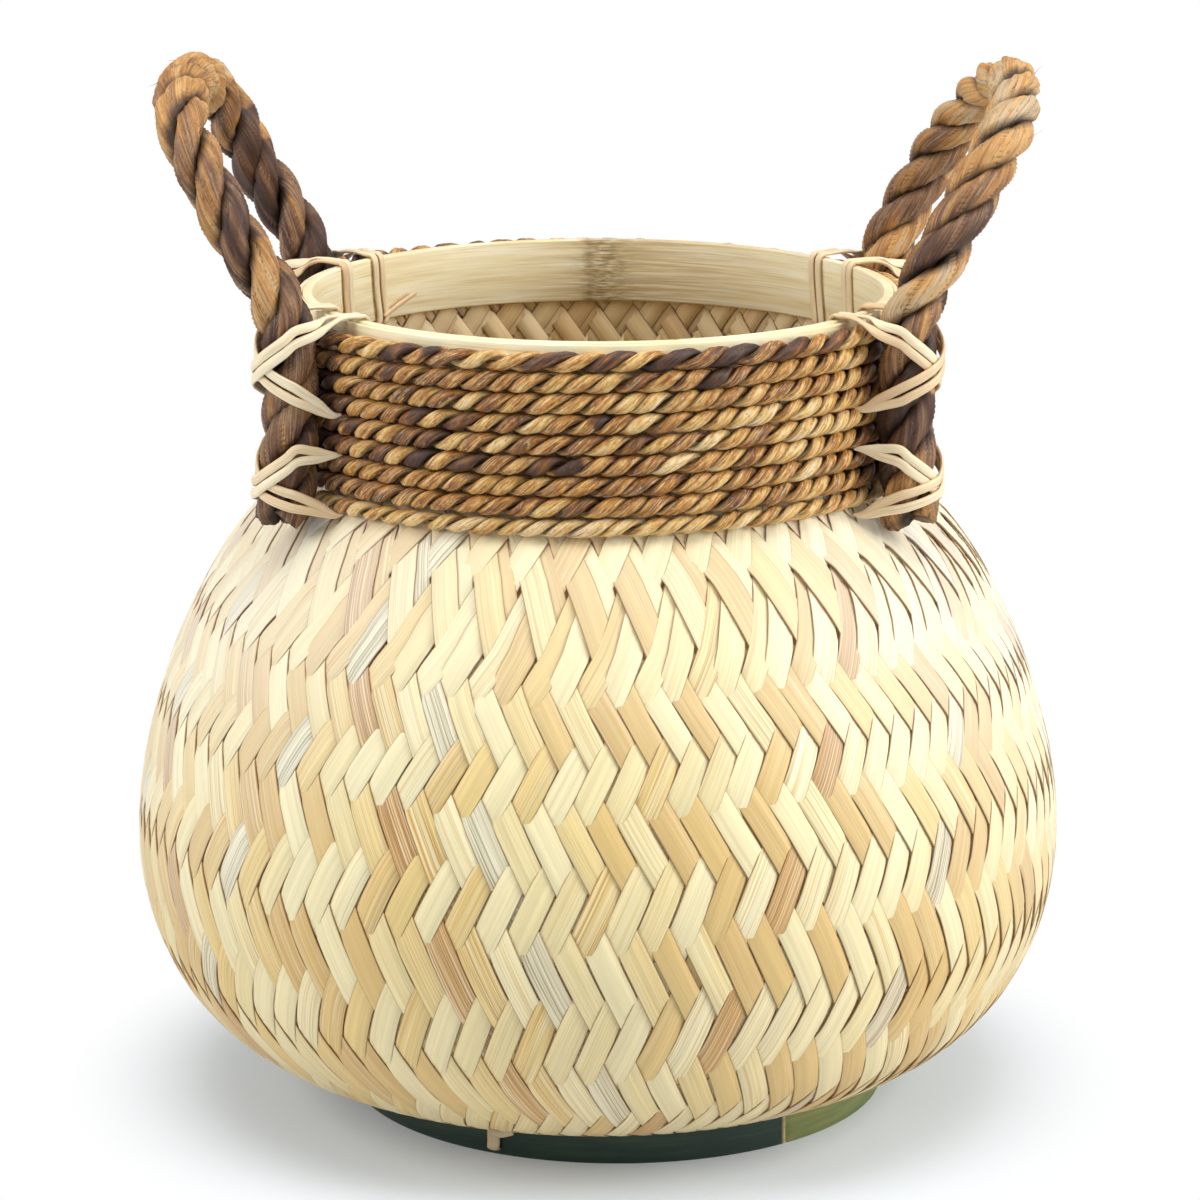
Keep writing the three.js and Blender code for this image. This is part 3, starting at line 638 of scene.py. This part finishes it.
def turned_loft(loft, angle):
    rings, traits = loft
    c, s = math.cos(angle), math.sin(angle)
    turn = np.array([[c, s, 0], [-s, c, 0], [0, 0, 1]])
    return rings @ turn, traits


def lashings(finish):
    """Four strands in a cross at the rim and four at the shoulder, on each leg."""
    for name, angle in LEG_ANGLES.items():
        for level, strand in (("upper", upper_strand), ("lower", lower_strand)):
            lofts = [strand(side, which, angle) for side in (1, -1) for which in (-1, 1)]
            if (name, level) == ("left_rear", "upper"):
                lofts.append(loose_tail())
            lofts = [turned_loft(loft, angle) for loft in lofts]
            piece = loft_piece(f"{name}_{level}_peel", lofts, finish)
            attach(piece, "root")
            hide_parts(f"{name}_{level}_lash")


def foot_ties(finish):
    """A strip of peel holds the foot hoop in three places. Its short tail sticks out beside it."""
    for index in range(3):
        low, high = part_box(f"foot_tie_{index + 1}")
        middle = (low + high) / 2
        angle = math.atan2(middle.y, middle.x - FOOT_CENTRE)
        skin = (FOOT_RADIUS + peel_seat) * OUT
        inner = (FOOT_INNER - peel_seat) * OUT
        floor = 2.4 * MM * UP
        top = (FOOT_HEIGHT - 0.5 * MM) * UP
        round_foot = [
            (inner + top, -OUT),
            (inner + floor + 1.5 * MM * UP, -OUT),
            (inner + floor, -UP - OUT),
            (skin + floor, -UP + OUT),
            (skin + 5 * MM * UP, OUT),
            (skin + top, OUT),
        ]
        root = skin + 0.7 * MM * OUT + top - 2 * MM * UP
        steps = (0 * OUT, 4 * SIDEWAYS + 1.2 * OUT, 9 * SIDEWAYS + 2 * (OUT + UP))
        tail = [(root + step * MM, OUT + 0.4 * UP) for step in steps]
        lofts = [peel_loft(round_foot, 5 * MM), peel_loft(tail, PEEL_WIDTH)]
        lofts = [turned_loft(loft, angle) for loft in lofts]
        for rings, _ in lofts:
            rings[..., 0] += FOOT_CENTRE
        piece = loft_piece(f"foot_tie_peel_{index + 1}", lofts, finish)
        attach(piece, "root")
        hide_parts(f"foot_tie_{index + 1}")


# Rope


def even_frames(path):
    """Outward and sideways directions that follow the path without twisting about it."""
    along = headings(path)
    outward = np.empty_like(along)
    carried = np.cross(along[0], [0.0, 1.0, 0.0])
    for index, ahead in enumerate(along):
        carried = carried - ahead * np.dot(carried, ahead)
        carried = carried / np.linalg.norm(carried)
        outward[index] = carried
    return outward, np.cross(along, outward)


def crease_share(rings, path, outward, sideways, lay, strands):
    """How far round the rope each point is from its strand's crest: 0 there, 1 where it
    meets the next strand."""
    ahead = headings(path)
    offset = rings - path[:, None, :]
    run, up, side = (np.sum(offset * axis[:, None, :], axis=2) for axis in (ahead, outward, sideways))
    lengths = lengths_along(path)
    lay_there = np.interp(lengths[:, None] + run, lengths, lay)
    from_crest = np.abs((np.arctan2(side, up) - lay_there + np.pi) % (2 * np.pi) - np.pi)
    return np.clip(from_crest * strands / np.pi, 0, 1)


def strand_loft(path, outward, sideways, rope, strand):
    """One strand of a laid rope: a swelling tube that winds about the rope's path, with
    folds and grooves along its fibres. Each time it comes to the outside of the rope it
    shows as one lobe, with a thickness and a tone of its own."""
    step = np.linalg.norm(np.diff(path, axis=0), axis=1).mean()
    lengths = np.arange(len(path)) * step
    lead = np.mean(rope["lead"])
    turns = np.cumsum(step / (rope["lead"] + 0 * lengths)) + strand / rope["strands"]
    turns = turns + rope["looseness"] * slow_noise(lengths, 4 * lead)
    lay = rope["hand"] * 2 * np.pi * turns
    lobe = np.round(turns).astype(int) - int(np.round(turns).min())
    lobe_size = random.normal(1, rope["unevenness"], lobe.max() + 1)
    lobe_tone = random.normal(0, 1, lobe.max() + 1)
    toward = np.cos(lay)[:, None] * outward + np.sin(lay)[:, None] * sideways
    size = (rope["size"] + 0 * lengths)[:, None]
    centre = path + rope["winding"] * size * toward
    along = headings(centre)
    out = square_to(along, toward)
    side = np.cross(along, out)
    around_strand = np.linspace(0, 2 * np.pi, rope["sides"], endpoint=False)
    fibre = around_strand[None, :] + (rope["hand"] * 2 * np.pi * lengths / rope["fibre_lead"])[:, None]
    swell = np.interp(turns, np.arange(lobe.max() + 1) + np.round(turns).min(), lobe_size)
    swell = swell + rope["bulge"] * np.cos(lay)
    folds = sum(
        depth * np.sin(count * fibre + phase + slow_noise(lengths, lead)[:, None])
        for count, depth, phase in zip((3, 5, 8, 13), rope["folds"], random.uniform(0, 6, 4), strict=True)
    )
    wandering = 1.5 * slow_noise(lengths, 1.3 * lead)[:, None]
    groove_width = 0.16
    groove = np.exp(-((np.sin(1.5 * fibre + random.uniform(0, 6) + wandering) / groove_width) ** 2))
    radius = rope["strand"] * size * swell[:, None] + folds - rope["groove"] * groove
    ring = np.cos(around_strand)[None, :, None] * out[:, None, :]
    ring = ring + rope["flat"] * np.sin(around_strand)[None, :, None] * side[:, None, :]
    rings = centre[:, None, :] + radius[..., None] * ring
    seed = random.uniform(0, 900)
    grain = vectors(lengths[:, None] + seed, np.cos(fibre) * rope["strand"], np.sin(fibre) * rope["strand"])
    # inward tells the finish where to paint shade: between the strands and down the grooves
    inward = crease_share(rings, path, outward, sideways, lay, rope["strands"])
    inward = np.maximum(inward, 0.93 * groove)
    tone = rope["tones"](lengths, strand) + rope["tone_spread"] * lobe_tone[lobe]
    traits = {"grain": grain, "split": vectors(tone[:, None], random.uniform(0, 1), inward)}
    return rings, traits


def neck_path():
    """The rope winds anticlockwise up the neck, close against it, and over the foot of the
    shoulder where that stands further out."""
    angles = np.arange(NECK_START, NECK_END + 2 * np.pi * NECK_TURNS, ROPE_STATION / winding_outer)
    height = neck_rope_height(angles)
    seat = NECK_RADIUS + CLEARANCE + NECK_ROPE / 2
    shoulder = np.clip((SHOULDER_HEIGHT + NECK_FLARE_HEIGHT - height) / NECK_FLARE_HEIGHT, 0, 1)
    radius = seat + NECK_FLARE * shoulder**2
    return angles, polar(radius, angles, height)


# Stretches of dark purple brown on the neck rope: the turn as counted at the front from
# the bottom, the angles where it starts and ends, and the strand
DARK_STRETCHES = [
    (8, -104, -38, 0),
    (8, -131, -127, 1),
    (8, -122, -118, 0),
    (5, -124, -118, 1),
    (5, -92, -84, 0),
    (4, -141, -130, 1),
    (3, -138, -108, 0),
    (3, -98, -92, 0),
    (2, -60, -54, 1),
]


def neck_rope(finish):
    angles, path = neck_path()
    along = headings(path)
    outward = normalised(path * [1, 1, 0])
    sideways = np.cross(along, outward)
    outward = np.cross(sideways, along)
    turn = turns_at(angles)

    def tones(lengths, strand):
        """0 where the strand is pale, up to 1 where it is dark, and below 0 on the pinkish
        lowest turn. It's browner towards the left with painted shade, as the light comes from the right, and
        darkened with painted shadow close beside the legs."""
        # Painted shade: darker towards the left, which faces away from the light
        dark = 0.22 + 0.14 * strand - 0.15 * np.cos(angles)
        # Painted shadow of the legs on the rope, close beside each leg
        for leg in LEG_ANGLES.values():
            from_leg = np.abs((angles - leg + np.pi) % (2 * np.pi) - np.pi)
            dark = dark + 0.45 * np.exp(-((from_leg / math.radians(7)) ** 4))
        dark = dark + 0.2 * slow_noise(lengths, 330 * MM)
        dark = dark + 0.1 * slow_noise(lengths, 70 * MM)
        dark = np.where(turn < LOWEST_TURN_END, -0.36 + 0.1 * strand, dark)
        for number, start, end, which in DARK_STRETCHES:
            first, last = (number + turns_at(math.radians(angle)) for angle in (start, end))
            edge = 0.004  # of a turn
            inside = np.clip((turn - first) / edge, 0, 1) * np.clip((last - turn) / edge, 0, 1)
            dark = np.where(strand == which, np.maximum(dark, inside), dark)
        return dark

    rope = {
        "hand": -1,
        "lead": np.where(turn > TOP_TURN_START, TOP_TURN_LEAD, NECK_LEAD),
        "size": np.interp(turn - LOWEST_TURN_END, [-0.1, 0.1], [0.86, 1.0]),  # thin at first
        "looseness": 0.09,
        "strands": 2,
        "winding": 1.83 * MM,
        "strand": 1.84 * MM,
        "flat": 1.27,
        "sides": 18,
        "fibre_lead": 70 * MM,
        "unevenness": 0.07,
        "bulge": 0.06,
        "folds": (0.07 * MM, 0.08 * MM, 0.05 * MM, 0.0),
        "groove": 0.16 * MM,
        "tones": tones,
        "tone_spread": 0.17,
    }
    for strand in (0, 1):
        loft = strand_loft(path, outward, sideways, rope, strand)
        piece = loft_piece(f"neck_rope_strand_{strand + 1}", [loft], finish)
        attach(piece, "root")
        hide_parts("neck_rope")


def handle_path(squareness, early_lean, late_lean, skew):
    """One rope, seen on the right side: up the front leg, round the leaning loop and down
    the rear leg. The leans are shares of the lean at the loop's foot and at its top, and
    skew leans the first half more than the second."""
    leg_x, leg_y = LEG_DISTANCE * math.cos(LEG_ANGLE), LEG_DISTANCE * math.sin(LEG_ANGLE)
    heights = np.linspace(LEG_FOOT, HINGE_HEIGHT, 40)
    leg = polar(leg_distance_at(heights), -LEG_ANGLE, heights)
    half_turn = np.linspace(0, np.pi, 400)
    power = 2 / squareness
    across = -leg_y * np.sign(np.cos(half_turn)) * np.abs(np.cos(half_turn)) ** power
    up = HANDLE_REACH * np.clip(np.sin(half_turn), 0, 1) ** power
    lean = up * (early_lean + (late_lean - early_lean) * up / HANDLE_REACH - skew * across / leg_y)
    out = leg_x + math.sin(HANDLE_LEAN) * lean
    loop = vectors(out, across, HINGE_HEIGHT + math.cos(HANDLE_LEAN) * up)
    other_leg = leg[::-1] * [1, -1, 1]
    path = resampled(np.vstack([leg[:-1], loop, other_leg[1:]]), ROPE_STATION)
    return smoothed(path, 30)


def loose_hairs(strands, count):
    """Thin fibres that have worked loose from the rope."""
    lofts = []
    for _ in range(count):
        rings, traits = strands[random.integers(len(strands))]
        ring = random.integers(8, len(rings) - 9)
        side = random.integers(-4, 5)
        root = rings[ring, side]
        centre = rings[ring].mean(axis=0)
        away = normalised(root - centre)
        along = normalised(rings[ring + 1].mean(axis=0) - centre) * random.choice([-1, 1])
        length = random.uniform(2.5, 8) * MM
        drift = normalised(random.normal(0, 1, 3)) * 0.5
        t = np.linspace(0, 1, 6)[:, None]
        lie = 0.12 + 0.4 * random.uniform()
        path = root - 0.4 * MM * away + length * (t * along + lie * t**1.6 * away + t**2 * drift * 0.6)
        direction = headings(path)
        face = normalised(np.cross(direction, away))
        edge = np.cross(direction, face)
        thickness = 0.16 * MM * (1.05 - t)
        corners = [face, -0.5 * face + 0.87 * edge, -0.5 * face - 0.87 * edge]
        hair = np.stack([path + thickness * corner for corner in corners], axis=1)
        grain = np.broadcast_to(traits["grain"][ring, side], hair.shape)
        lofts.append((hair, {"grain": grain, "split": vectors(0.3, 0.5, 0.0)}))
    return lofts


def handle_rope(side, finish, tone_with_painted_shade, **shape):
    path = handle_path(**shape)
    if side == "left":
        path = path * [-1, -1, 1]
    outward, sideways = even_frames(path)

    def tones(lengths, strand):
        # low darkens the rope below the rim; high is a painted highlight, lighter over the top of the loop
        # where the light falls
        slow = 0.2 * slow_noise(lengths, 210 * MM)
        low = 0.2 * np.clip((RIM_HEIGHT + 8 * MM - path[:, 2]) / (20 * MM), 0, 1)
        high = 0.3 * np.clip((path[:, 2] - RIM_HEIGHT - 40 * MM) / (25 * MM), 0, 1)
        return tone_with_painted_shade + low - high + slow + 0.14 * slow_noise(lengths, 40 * MM)

    rope = {
        "hand": 1,
        "lead": HANDLE_LEAD,
        "size": np.interp(path[:, 2], [RIM_HEIGHT, RIM_HEIGHT + 20 * MM], [0.99, 0.92]),
        "looseness": 0.05,
        "strands": 3,
        "winding": 5.45 * MM,
        "strand": 4.75 * MM,
        "flat": 1.08,
        "sides": 60,
        "fibre_lead": 28 * MM,
        "unevenness": 0.07,
        "bulge": 0.0,
        "folds": (0.3 * MM, 0.24 * MM, 0.18 * MM, 0.1 * MM),
        "groove": 0.7 * MM,
        "tones": tones,
        "tone_spread": 0.24,
    }
    strands = [strand_loft(path, outward, sideways, rope, strand) for strand in range(3)]
    piece = loft_piece(f"{side}_handle_rope", [*strands, *loose_hairs(strands, 36)], finish)
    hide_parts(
        f"{side}_handle_loop",
        f"{side}_front_bend",
        f"{side}_rear_bend",
        f"{side}_front_leg",
        f"{side}_rear_leg",
    )
    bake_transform(piece)


# Finishes


def colour(code):
    """An sRGB hex value as linear red, green, blue and alpha."""
    shares = [int(code[place : place + 2], 16) / 255 for place in (1, 3, 5)]
    return [*[s / 12.92 if s <= 0.04045 else ((s + 0.055) / 1.055) ** 2.4 for s in shares], 1.0]


def add(tree, kind, inputs=None, stops=None, **settings):
    """Adds a node: its settings, its inputs as values, hex colours or sockets to link from,
    and the stops of its colour ramp as places and hex colours."""
    made = tree.nodes.new(kind)
    for name, value in settings.items():
        setattr(made, name, value)
    for name, value in (inputs or {}).items():
        if isinstance(value, bpy.types.NodeSocket):
            tree.links.new(value, made.inputs[name])
        else:
            made.inputs[name].default_value = colour(value) if isinstance(value, str) else value
    if stops:
        elements = made.color_ramp.elements
        for place in list(stops)[2:]:
            elements.new(place)
        for element, (place, code) in zip(elements, stops.items(), strict=True):
            element.position = place
            element.color = colour(code)
    return made


def ramped(tree, place, stops):
    """The colour at a place on a ramp."""
    return add(tree, "ShaderNodeValToRGB", {"Fac": place}, stops).outputs["Color"]


def ranged(tree, value, start, end, low, high, **settings):
    """low up to where the value is at start, and high from where it is at end."""
    inputs = {"Value": value, "From Min": start, "From Max": end, "To Min": low, "To Max": high}
    return add(tree, "ShaderNodeMapRange", inputs, **settings).outputs[0]


def combined(tree, operation, first, second):
    """Two values made into one by a sum, a product and so on."""
    return add(tree, "ShaderNodeMath", {0: first, 1: second}, operation=operation).outputs[0]


def mixed(tree, share, under, over, **settings):
    """A colour with a share of another over it."""
    inputs = {0: share, 6: under, 7: over}
    return add(tree, "ShaderNodeMix", inputs, data_type="RGBA", **settings).outputs[2]


def marked(tree, under, over, noise, start, end, share, where=1.0):
    """A colour with another over it, from nothing where the noise is at start to the whole
    share where it is at end."""
    marks = ranged(tree, noise, start, end, 0.0, share)
    return mixed(tree, combined(tree, "MULTIPLY", marks, where), under, over)


def new_finish(name, roughness, specular):
    """A material with the shader's plain values set, and its node tree."""
    made = bpy.data.materials.new(name)
    made.use_nodes = True
    skin = made.node_tree.nodes["Principled BSDF"]
    skin.inputs["Roughness"].default_value = roughness
    skin.inputs["Specular IOR Level"].default_value = specular
    skin.inputs["IOR"].default_value = 1.5
    return made, made.node_tree


def dressed(made, finished, height, strength, distance):
    """The material with its colour, and with a bump as deep as the distance."""
    tree = made.node_tree
    skin = tree.nodes["Principled BSDF"]
    tree.links.new(finished, skin.inputs["Base Color"])
    bump = add(tree, "ShaderNodeBump", {"Height": height, "Strength": strength, "Distance": distance})
    tree.links.new(bump.outputs[0], skin.inputs["Normal"])
    return made


def values_of(tree, name):
    """The three values of a trait."""
    vector = add(tree, "ShaderNodeAttribute", attribute_name=name).outputs["Vector"]
    parts = add(tree, "ShaderNodeSeparateXYZ", {"Vector": vector}).outputs
    return parts["X"], parts["Y"], parts["Z"]


def traits_of(tree):
    """The grain vector, and the three values of the split trait."""
    grain = add(tree, "ShaderNodeAttribute", attribute_name="grain").outputs["Vector"]
    return grain, *values_of(tree, "split")


def fibres(tree, grain, along, across, depth, detail=2.0):
    """Noise drawn out along the grain. along, across and depth are the sizes of one fibre."""
    scale = (1 / along, 1 / across, 1 / depth)
    stretched = add(tree, "ShaderNodeVectorMath", {0: grain, 1: scale}, operation="MULTIPLY").outputs[0]
    inputs = {"Vector": stretched, "Scale": 1.0, "Detail": detail, "Roughness": 0.6}
    return add(tree, "ShaderNodeTexNoise", inputs).outputs["Fac"]


def strip_finish():
    """Split bamboo, scraped and woven bare: satin, straw to honey, streaked along its fibres.
    Each strip has its own tone, and its cut edges are browner."""
    made, tree = new_finish("split_bamboo_strip", 0.5, 0.35)
    grain, tone, streaks, edge = traits_of(tree)
    tones = {0.0: "#F4E6B6", 0.2: "#EEDCA4", 0.38: "#E8CB86", 0.54: "#DDBC7A"}
    tones |= {0.7: "#C99C5E", 0.85: "#E2DABA", 1.0: "#C08C56"}
    line_tones = {0.0: "#DDBB7C", 0.38: "#BC8747", 0.6: "#B48150"}
    line_tones |= {0.72: "#8F6238", 0.84: "#938A68", 1.0: "#7A4520"}
    finished = ramped(tree, tone, tones)
    # Fibre bundles: dark and light lines about 0.5 mm wide, as fine as the picture shows
    fine = fibres(tree, grain, 60 * MM, 0.5 * MM, 1.0, 1.0)
    broad = fibres(tree, grain, 70 * MM, 2.2 * MM, 1.0)
    finished = marked(tree, finished, "#FBF3D8", fine, 0.46, 0.34, 0.7, streaks)
    finished = marked(tree, finished, ramped(tree, tone, line_tones), fine, 0.52, 0.64, 0.9, streaks)
    band = ranged(tree, broad, 0.3, 0.7, 0.87, 1.08)
    finished = mixed(tree, 1.0, finished, band, blend_type="MULTIPLY")
    # Tan low down with painted shade, paler with painted light at the shoulder and on the flanks, and golden
    # inside the neck
    rise, flank, _ = values_of(tree, "place")
    for place, start, end, share, code in (
        (rise, 0.6, 0.15, 0.36, "#CFA266"),
        (rise, 0.62, 0.95, 0.26, "#FCF3DE"),
        (flank, 0.1, 0.7, 0.34, "#FFFBF0"),
        (rise, 1.05, 1.25, 0.34, "#E2AE60"),
        (edge, 0.91, 1.0, 0.8, "#74461A"),
    ):
        finished = marked(tree, finished, code, place, start, end, share)
    return dressed(made, finished, fine, 0.35, 0.12 * MM)


def hoop_finish():
    """A split of bamboo, bent green and dried: smooth, pale, with fine straight grain. A
    node of the culm shows as a dark patch in a brown stain."""
    made, tree = new_finish("split_bamboo_hoop", 0.42, 0.4)
    grain, patch, stain, line = traits_of(tree)
    fine = fibres(tree, grain, 28 * MM, 0.45 * MM, 1.0, 3.0)
    broad = fibres(tree, grain, 45 * MM, 3.0 * MM, 1.0)
    streak = fibres(tree, grain, 32 * MM, 0.9 * MM, 1.0, 3.0)
    blotch = fibres(tree, grain, 5 * MM, 0.9 * MM, 1.0, 3.0)
    finished = ramped(tree, broad, {0.25: "#ECD9A6", 0.5: "#F8EABF", 0.75: "#FFF8DC"})
    finished = marked(tree, finished, "#B4925E", fine, 0.5, 0.75, 0.4)
    finished = marked(tree, finished, "#A27C4A", streak, 0.3, 0.6, 0.62, stain)
    finished = marked(tree, finished, "#EBDCB2", streak, 0.42, 0.32, 0.6, stain)
    finished = marked(tree, finished, "#6F6036", blotch, 0.38, 0.6, 0.75, patch)
    finished = marked(tree, finished, "#7E5C34", blotch, 0.2, 0.6, 0.55, line)
    return dressed(made, finished, fine, 0.25, 0.12 * MM)


def green_finish():
    """Unpeeled bamboo: a waxy green skin, olive to dark, over the pale split wood."""
    made, tree = new_finish("green_bamboo_skin", 0.5, 0.35)
    grain, on_skin, aged, _ = traits_of(tree)
    fine = fibres(tree, grain, 22 * MM, 0.5 * MM, 1.0, 3.0)
    broad = fibres(tree, grain, 35 * MM, 4.0 * MM, 1.0)
    age = combined(tree, "MULTIPLY", combined(tree, "ADD", aged, broad), 0.55)
    green = ramped(tree, age, {0.2: "#92935A", 0.45: "#63733F", 0.62: "#374E38", 0.85: "#26382F"})
    wood = ramped(tree, fine, {0.3: "#C9A56C", 0.5: "#DDC08A", 0.7: "#E6D2A2"})
    return dressed(made, mixed(tree, on_skin, wood, green), fine, 0.2, 0.1 * MM)


def peel_finish():
    """Rattan peel, split and shaved: pale peach straw with a low shine and fine lines."""
    made, tree = new_finish("rattan_peel", 0.42, 0.4)
    grain, tone, _, edge = traits_of(tree)
    fine = fibres(tree, grain, 18 * MM, 0.35 * MM, 1.0)
    broad = fibres(tree, grain, 14 * MM, 2.5 * MM, 1.0)
    place = combined(tree, "MULTIPLY", combined(tree, "ADD", tone, broad), 0.5)
    finished = ramped(tree, place, {0.2: "#F7E9C6", 0.5: "#F1DAB0", 0.8: "#E2BE92"})
    finished = marked(tree, finished, "#B98F60", fine, 0.5, 0.75, 0.45)
    finished = marked(tree, finished, "#A87A48", edge, 0.85, 1.0, 0.4)
    return dressed(made, finished, fine, 0.25, 0.1 * MM)


def rope_finish(name, tones, line_colours, line_shares, crease, leaf, fibre_size, roughness):
    """Laid rope of twisted leaves or bark: matt, with dark and pale fibres down its length
    and specks across them, and painted shade, nearly black brown, between its strands and
    down its grooves. tones are the ramp from its pale to its dark stretches. crease has where
    between the strands the painted shade starts, as a share of the way, and its colour. leaf
    is the length and width of one leaf, each of which has a tone of its own."""
    made, tree = new_finish(name, roughness, 0.35)
    grain, tone, _, inward = traits_of(tree)
    leaf_length, leaf_width = leaf
    mottle = fibres(tree, grain, leaf_length, leaf_width, leaf_width)
    fine = fibres(tree, grain, 24 * fibre_size, fibre_size, fibre_size, 3.0)
    specks = fibres(tree, grain, 3.5 * fibre_size, 1.6 * fibre_size, 1.6 * fibre_size)
    shade = ranged(tree, mottle, 0.25, 0.75, -0.45, 0.45)
    place = ranged(tree, combined(tree, "ADD", tone, shade), -0.4, 1.1, 0.0, 1.0)
    finished = ramped(tree, place, tones)
    # The pale fibres don't show on the dark stretches
    undyed = ranged(tree, tone, 0.6, 0.85, 1.0, 0.1)
    pale, dark = line_colours
    pale_share, dark_share = line_shares
    finished = marked(tree, finished, pale, fine, 0.47, 0.36, pale_share, undyed)
    finished = marked(tree, finished, dark, fine, 0.5, 0.66, dark_share)
    finished = marked(tree, finished, pale, specks, 0.42, 0.3, pale_share, undyed)
    finished = marked(tree, finished, dark, specks, 0.57, 0.7, dark_share)
    # Painted shade, nearly black brown, between the strands and down the grooves
    crease_start, crease_shade_colour = crease
    finished = marked(tree, finished, crease_shade_colour, inward, crease_start, 1.0, 0.92)
    return dressed(made, finished, fine, 0.6, 0.5 * fibre_size)


# Studio


def emptied_tree(owner):
    """The node tree of a material or a world, with nothing in it."""
    owner.use_nodes = True
    owner.node_tree.nodes.clear()
    return owner.node_tree


def seen_by_camera(tree):
    """The light path's outputs, and 1 for the rays of the camera and of reflections."""
    rays = add(tree, "ShaderNodeLightPath").outputs
    return rays, combined(tree, "MAXIMUM", rays["Is Camera Ray"], rays["Is Glossy Ray"])


def white_floor():
    """A white floor that shows the shadow close to the basket. It's plain white further out."""
    half = 8.0
    mesh = bpy.data.meshes.new("floor")
    corners = [(-half, -half, 0), (half, -half, 0), (half, half, 0), (-half, half, 0)]
    mesh.from_pydata(corners, [], [(0, 1, 2, 3)])
    floor = in_scene("floor", mesh)
    white = bpy.data.materials.new("white_floor")
    tree = emptied_tree(white)
    _, seen = seen_by_camera(tree)
    place = add(tree, "ShaderNodeNewGeometry").outputs["Position"]
    distance = add(tree, "ShaderNodeVectorMath", {0: place}, operation="LENGTH").outputs["Value"]
    glowing = ranged(tree, distance, 0.13, 0.205, 0.12, 1.0, interpolation_type="SMOOTHSTEP")
    share = combined(tree, "MULTIPLY", seen, glowing)
    matt = add(tree, "ShaderNodeBsdfDiffuse", {"Color": "#E4EFFB"}).outputs[0]
    glow = add(tree, "ShaderNodeEmission", {"Color": "#FFFFFF", "Strength": 1.0}).outputs[0]
    surface = add(tree, "ShaderNodeMixShader", {0: share, 1: matt, 2: glow}).outputs[0]
    add(tree, "ShaderNodeOutputMaterial", {"Surface": surface})
    mesh.materials.append(white)


def white_background():
    """A world that cameras and reflections see as white, and that lights the basket less."""
    world = bpy.data.worlds.new("studio")
    bpy.context.scene.world = world
    tree = emptied_tree(world)
    rays, seen = seen_by_camera(tree)
    seen = combined(tree, "MAXIMUM", seen, rays["Is Transmission Ray"])
    strength = ranged(tree, seen, 0.0, 1.0, 0.25, 1.0)
    light = add(tree, "ShaderNodeBackground", {"Color": "#FFFFFF", "Strength": strength}).outputs[0]
    add(tree, "ShaderNodeOutputWorld", {"Surface": light})


def lamp(name, place, width, power):
    """A square soft box that faces the middle of the basket."""
    data = bpy.data.lights.new(name, "AREA")
    data.shape = "RECTANGLE"
    data.size = data.size_y = width
    data.energy = power
    made = in_scene(name, data)
    made.location = place
    basket_middle = np.array([0, 0, 0.15])
    away = np.array(place) - basket_middle
    flat = math.hypot(away[0], away[1])
    made.rotation_euler = (math.atan2(flat, away[2]), 0, math.atan2(away[1], away[0]) + math.pi / 2)


def photograph_camera():
    """The photograph's view: straight at the front, from a little above the rim."""
    image_width = 1200
    focal_length = 4640  # in pixels
    axis_column = 598
    distance, height = 1.658, 0.597
    looks_down = math.radians(14.03)
    data = bpy.data.cameras.new("camera")
    data.sensor_width = 36
    data.lens = data.sensor_width * focal_length / image_width
    data.shift_x = (image_width / 2 - axis_column) / image_width
    camera = in_scene("camera", data)
    camera.location = (0, -distance, height)
    camera.rotation_euler = (math.pi / 2 - looks_down, 0, 0)
    bpy.context.scene.camera = camera


photograph_camera()
white_floor()
white_background()
lamp("left_box", (-1.7, -0.6, 1.1), 1.2, 20)
lamp("right_box", (1.7, -0.6, 1.1), 1.2, 31)
lamp("top_box", (0.0, -0.3, 1.9), 1.4, 19)

strip = strip_finish()
hoop = hoop_finish()
peel = peel_finish()
seagrass = rope_finish(
    "seagrass_rope",
    {0.0: "#EDCFA4", 0.25: "#DEB569", 0.45: "#BF8439", 0.62: "#8F5924", 0.8: "#5E381E", 1.0: "#301E1C"},
    ("#F4E2B4", "#6E4420"),
    (0.4, 0.55),
    # painted shade between the strands: where it starts and its colour
    (0.64, "#26140A"),
    (5 * MM, 1.4 * MM),
    0.35 * MM,
    0.5,
)
bark = rope_finish(
    "bark_rope",
    {0.0: "#C9AF8A", 0.22: "#D09D5C", 0.42: "#AA773F", 0.62: "#825E42", 0.8: "#583A28", 1.0: "#342018"},
    ("#CFB08A", "#4C2E1A"),
    (0.32, 0.5),
    # painted shade between the strands: where it starts and its colour
    (0.62, "#1E110A"),
    (24 * MM, 3.4 * MM),
    0.6 * MM,
    0.55,
)

woven_body(strip)
rim_hoop(hoop)
rim_strip(hoop)
foot_ring(green_finish())
lashings(peel)
foot_ties(peel)
neck_rope(seagrass)
# The left rope's tone is darker than the right's: painted shade, as the key light comes from the right
handle_rope("left", bark, 0.4, squareness=3.3, early_lean=1.14, late_lean=0.95, skew=-0.04)
handle_rope("right", bark, 0.26, squareness=2.4, early_lean=0.78, late_lean=0.98, skew=0.07)

bpy.context.scene.view_settings.view_transform = "Standard"
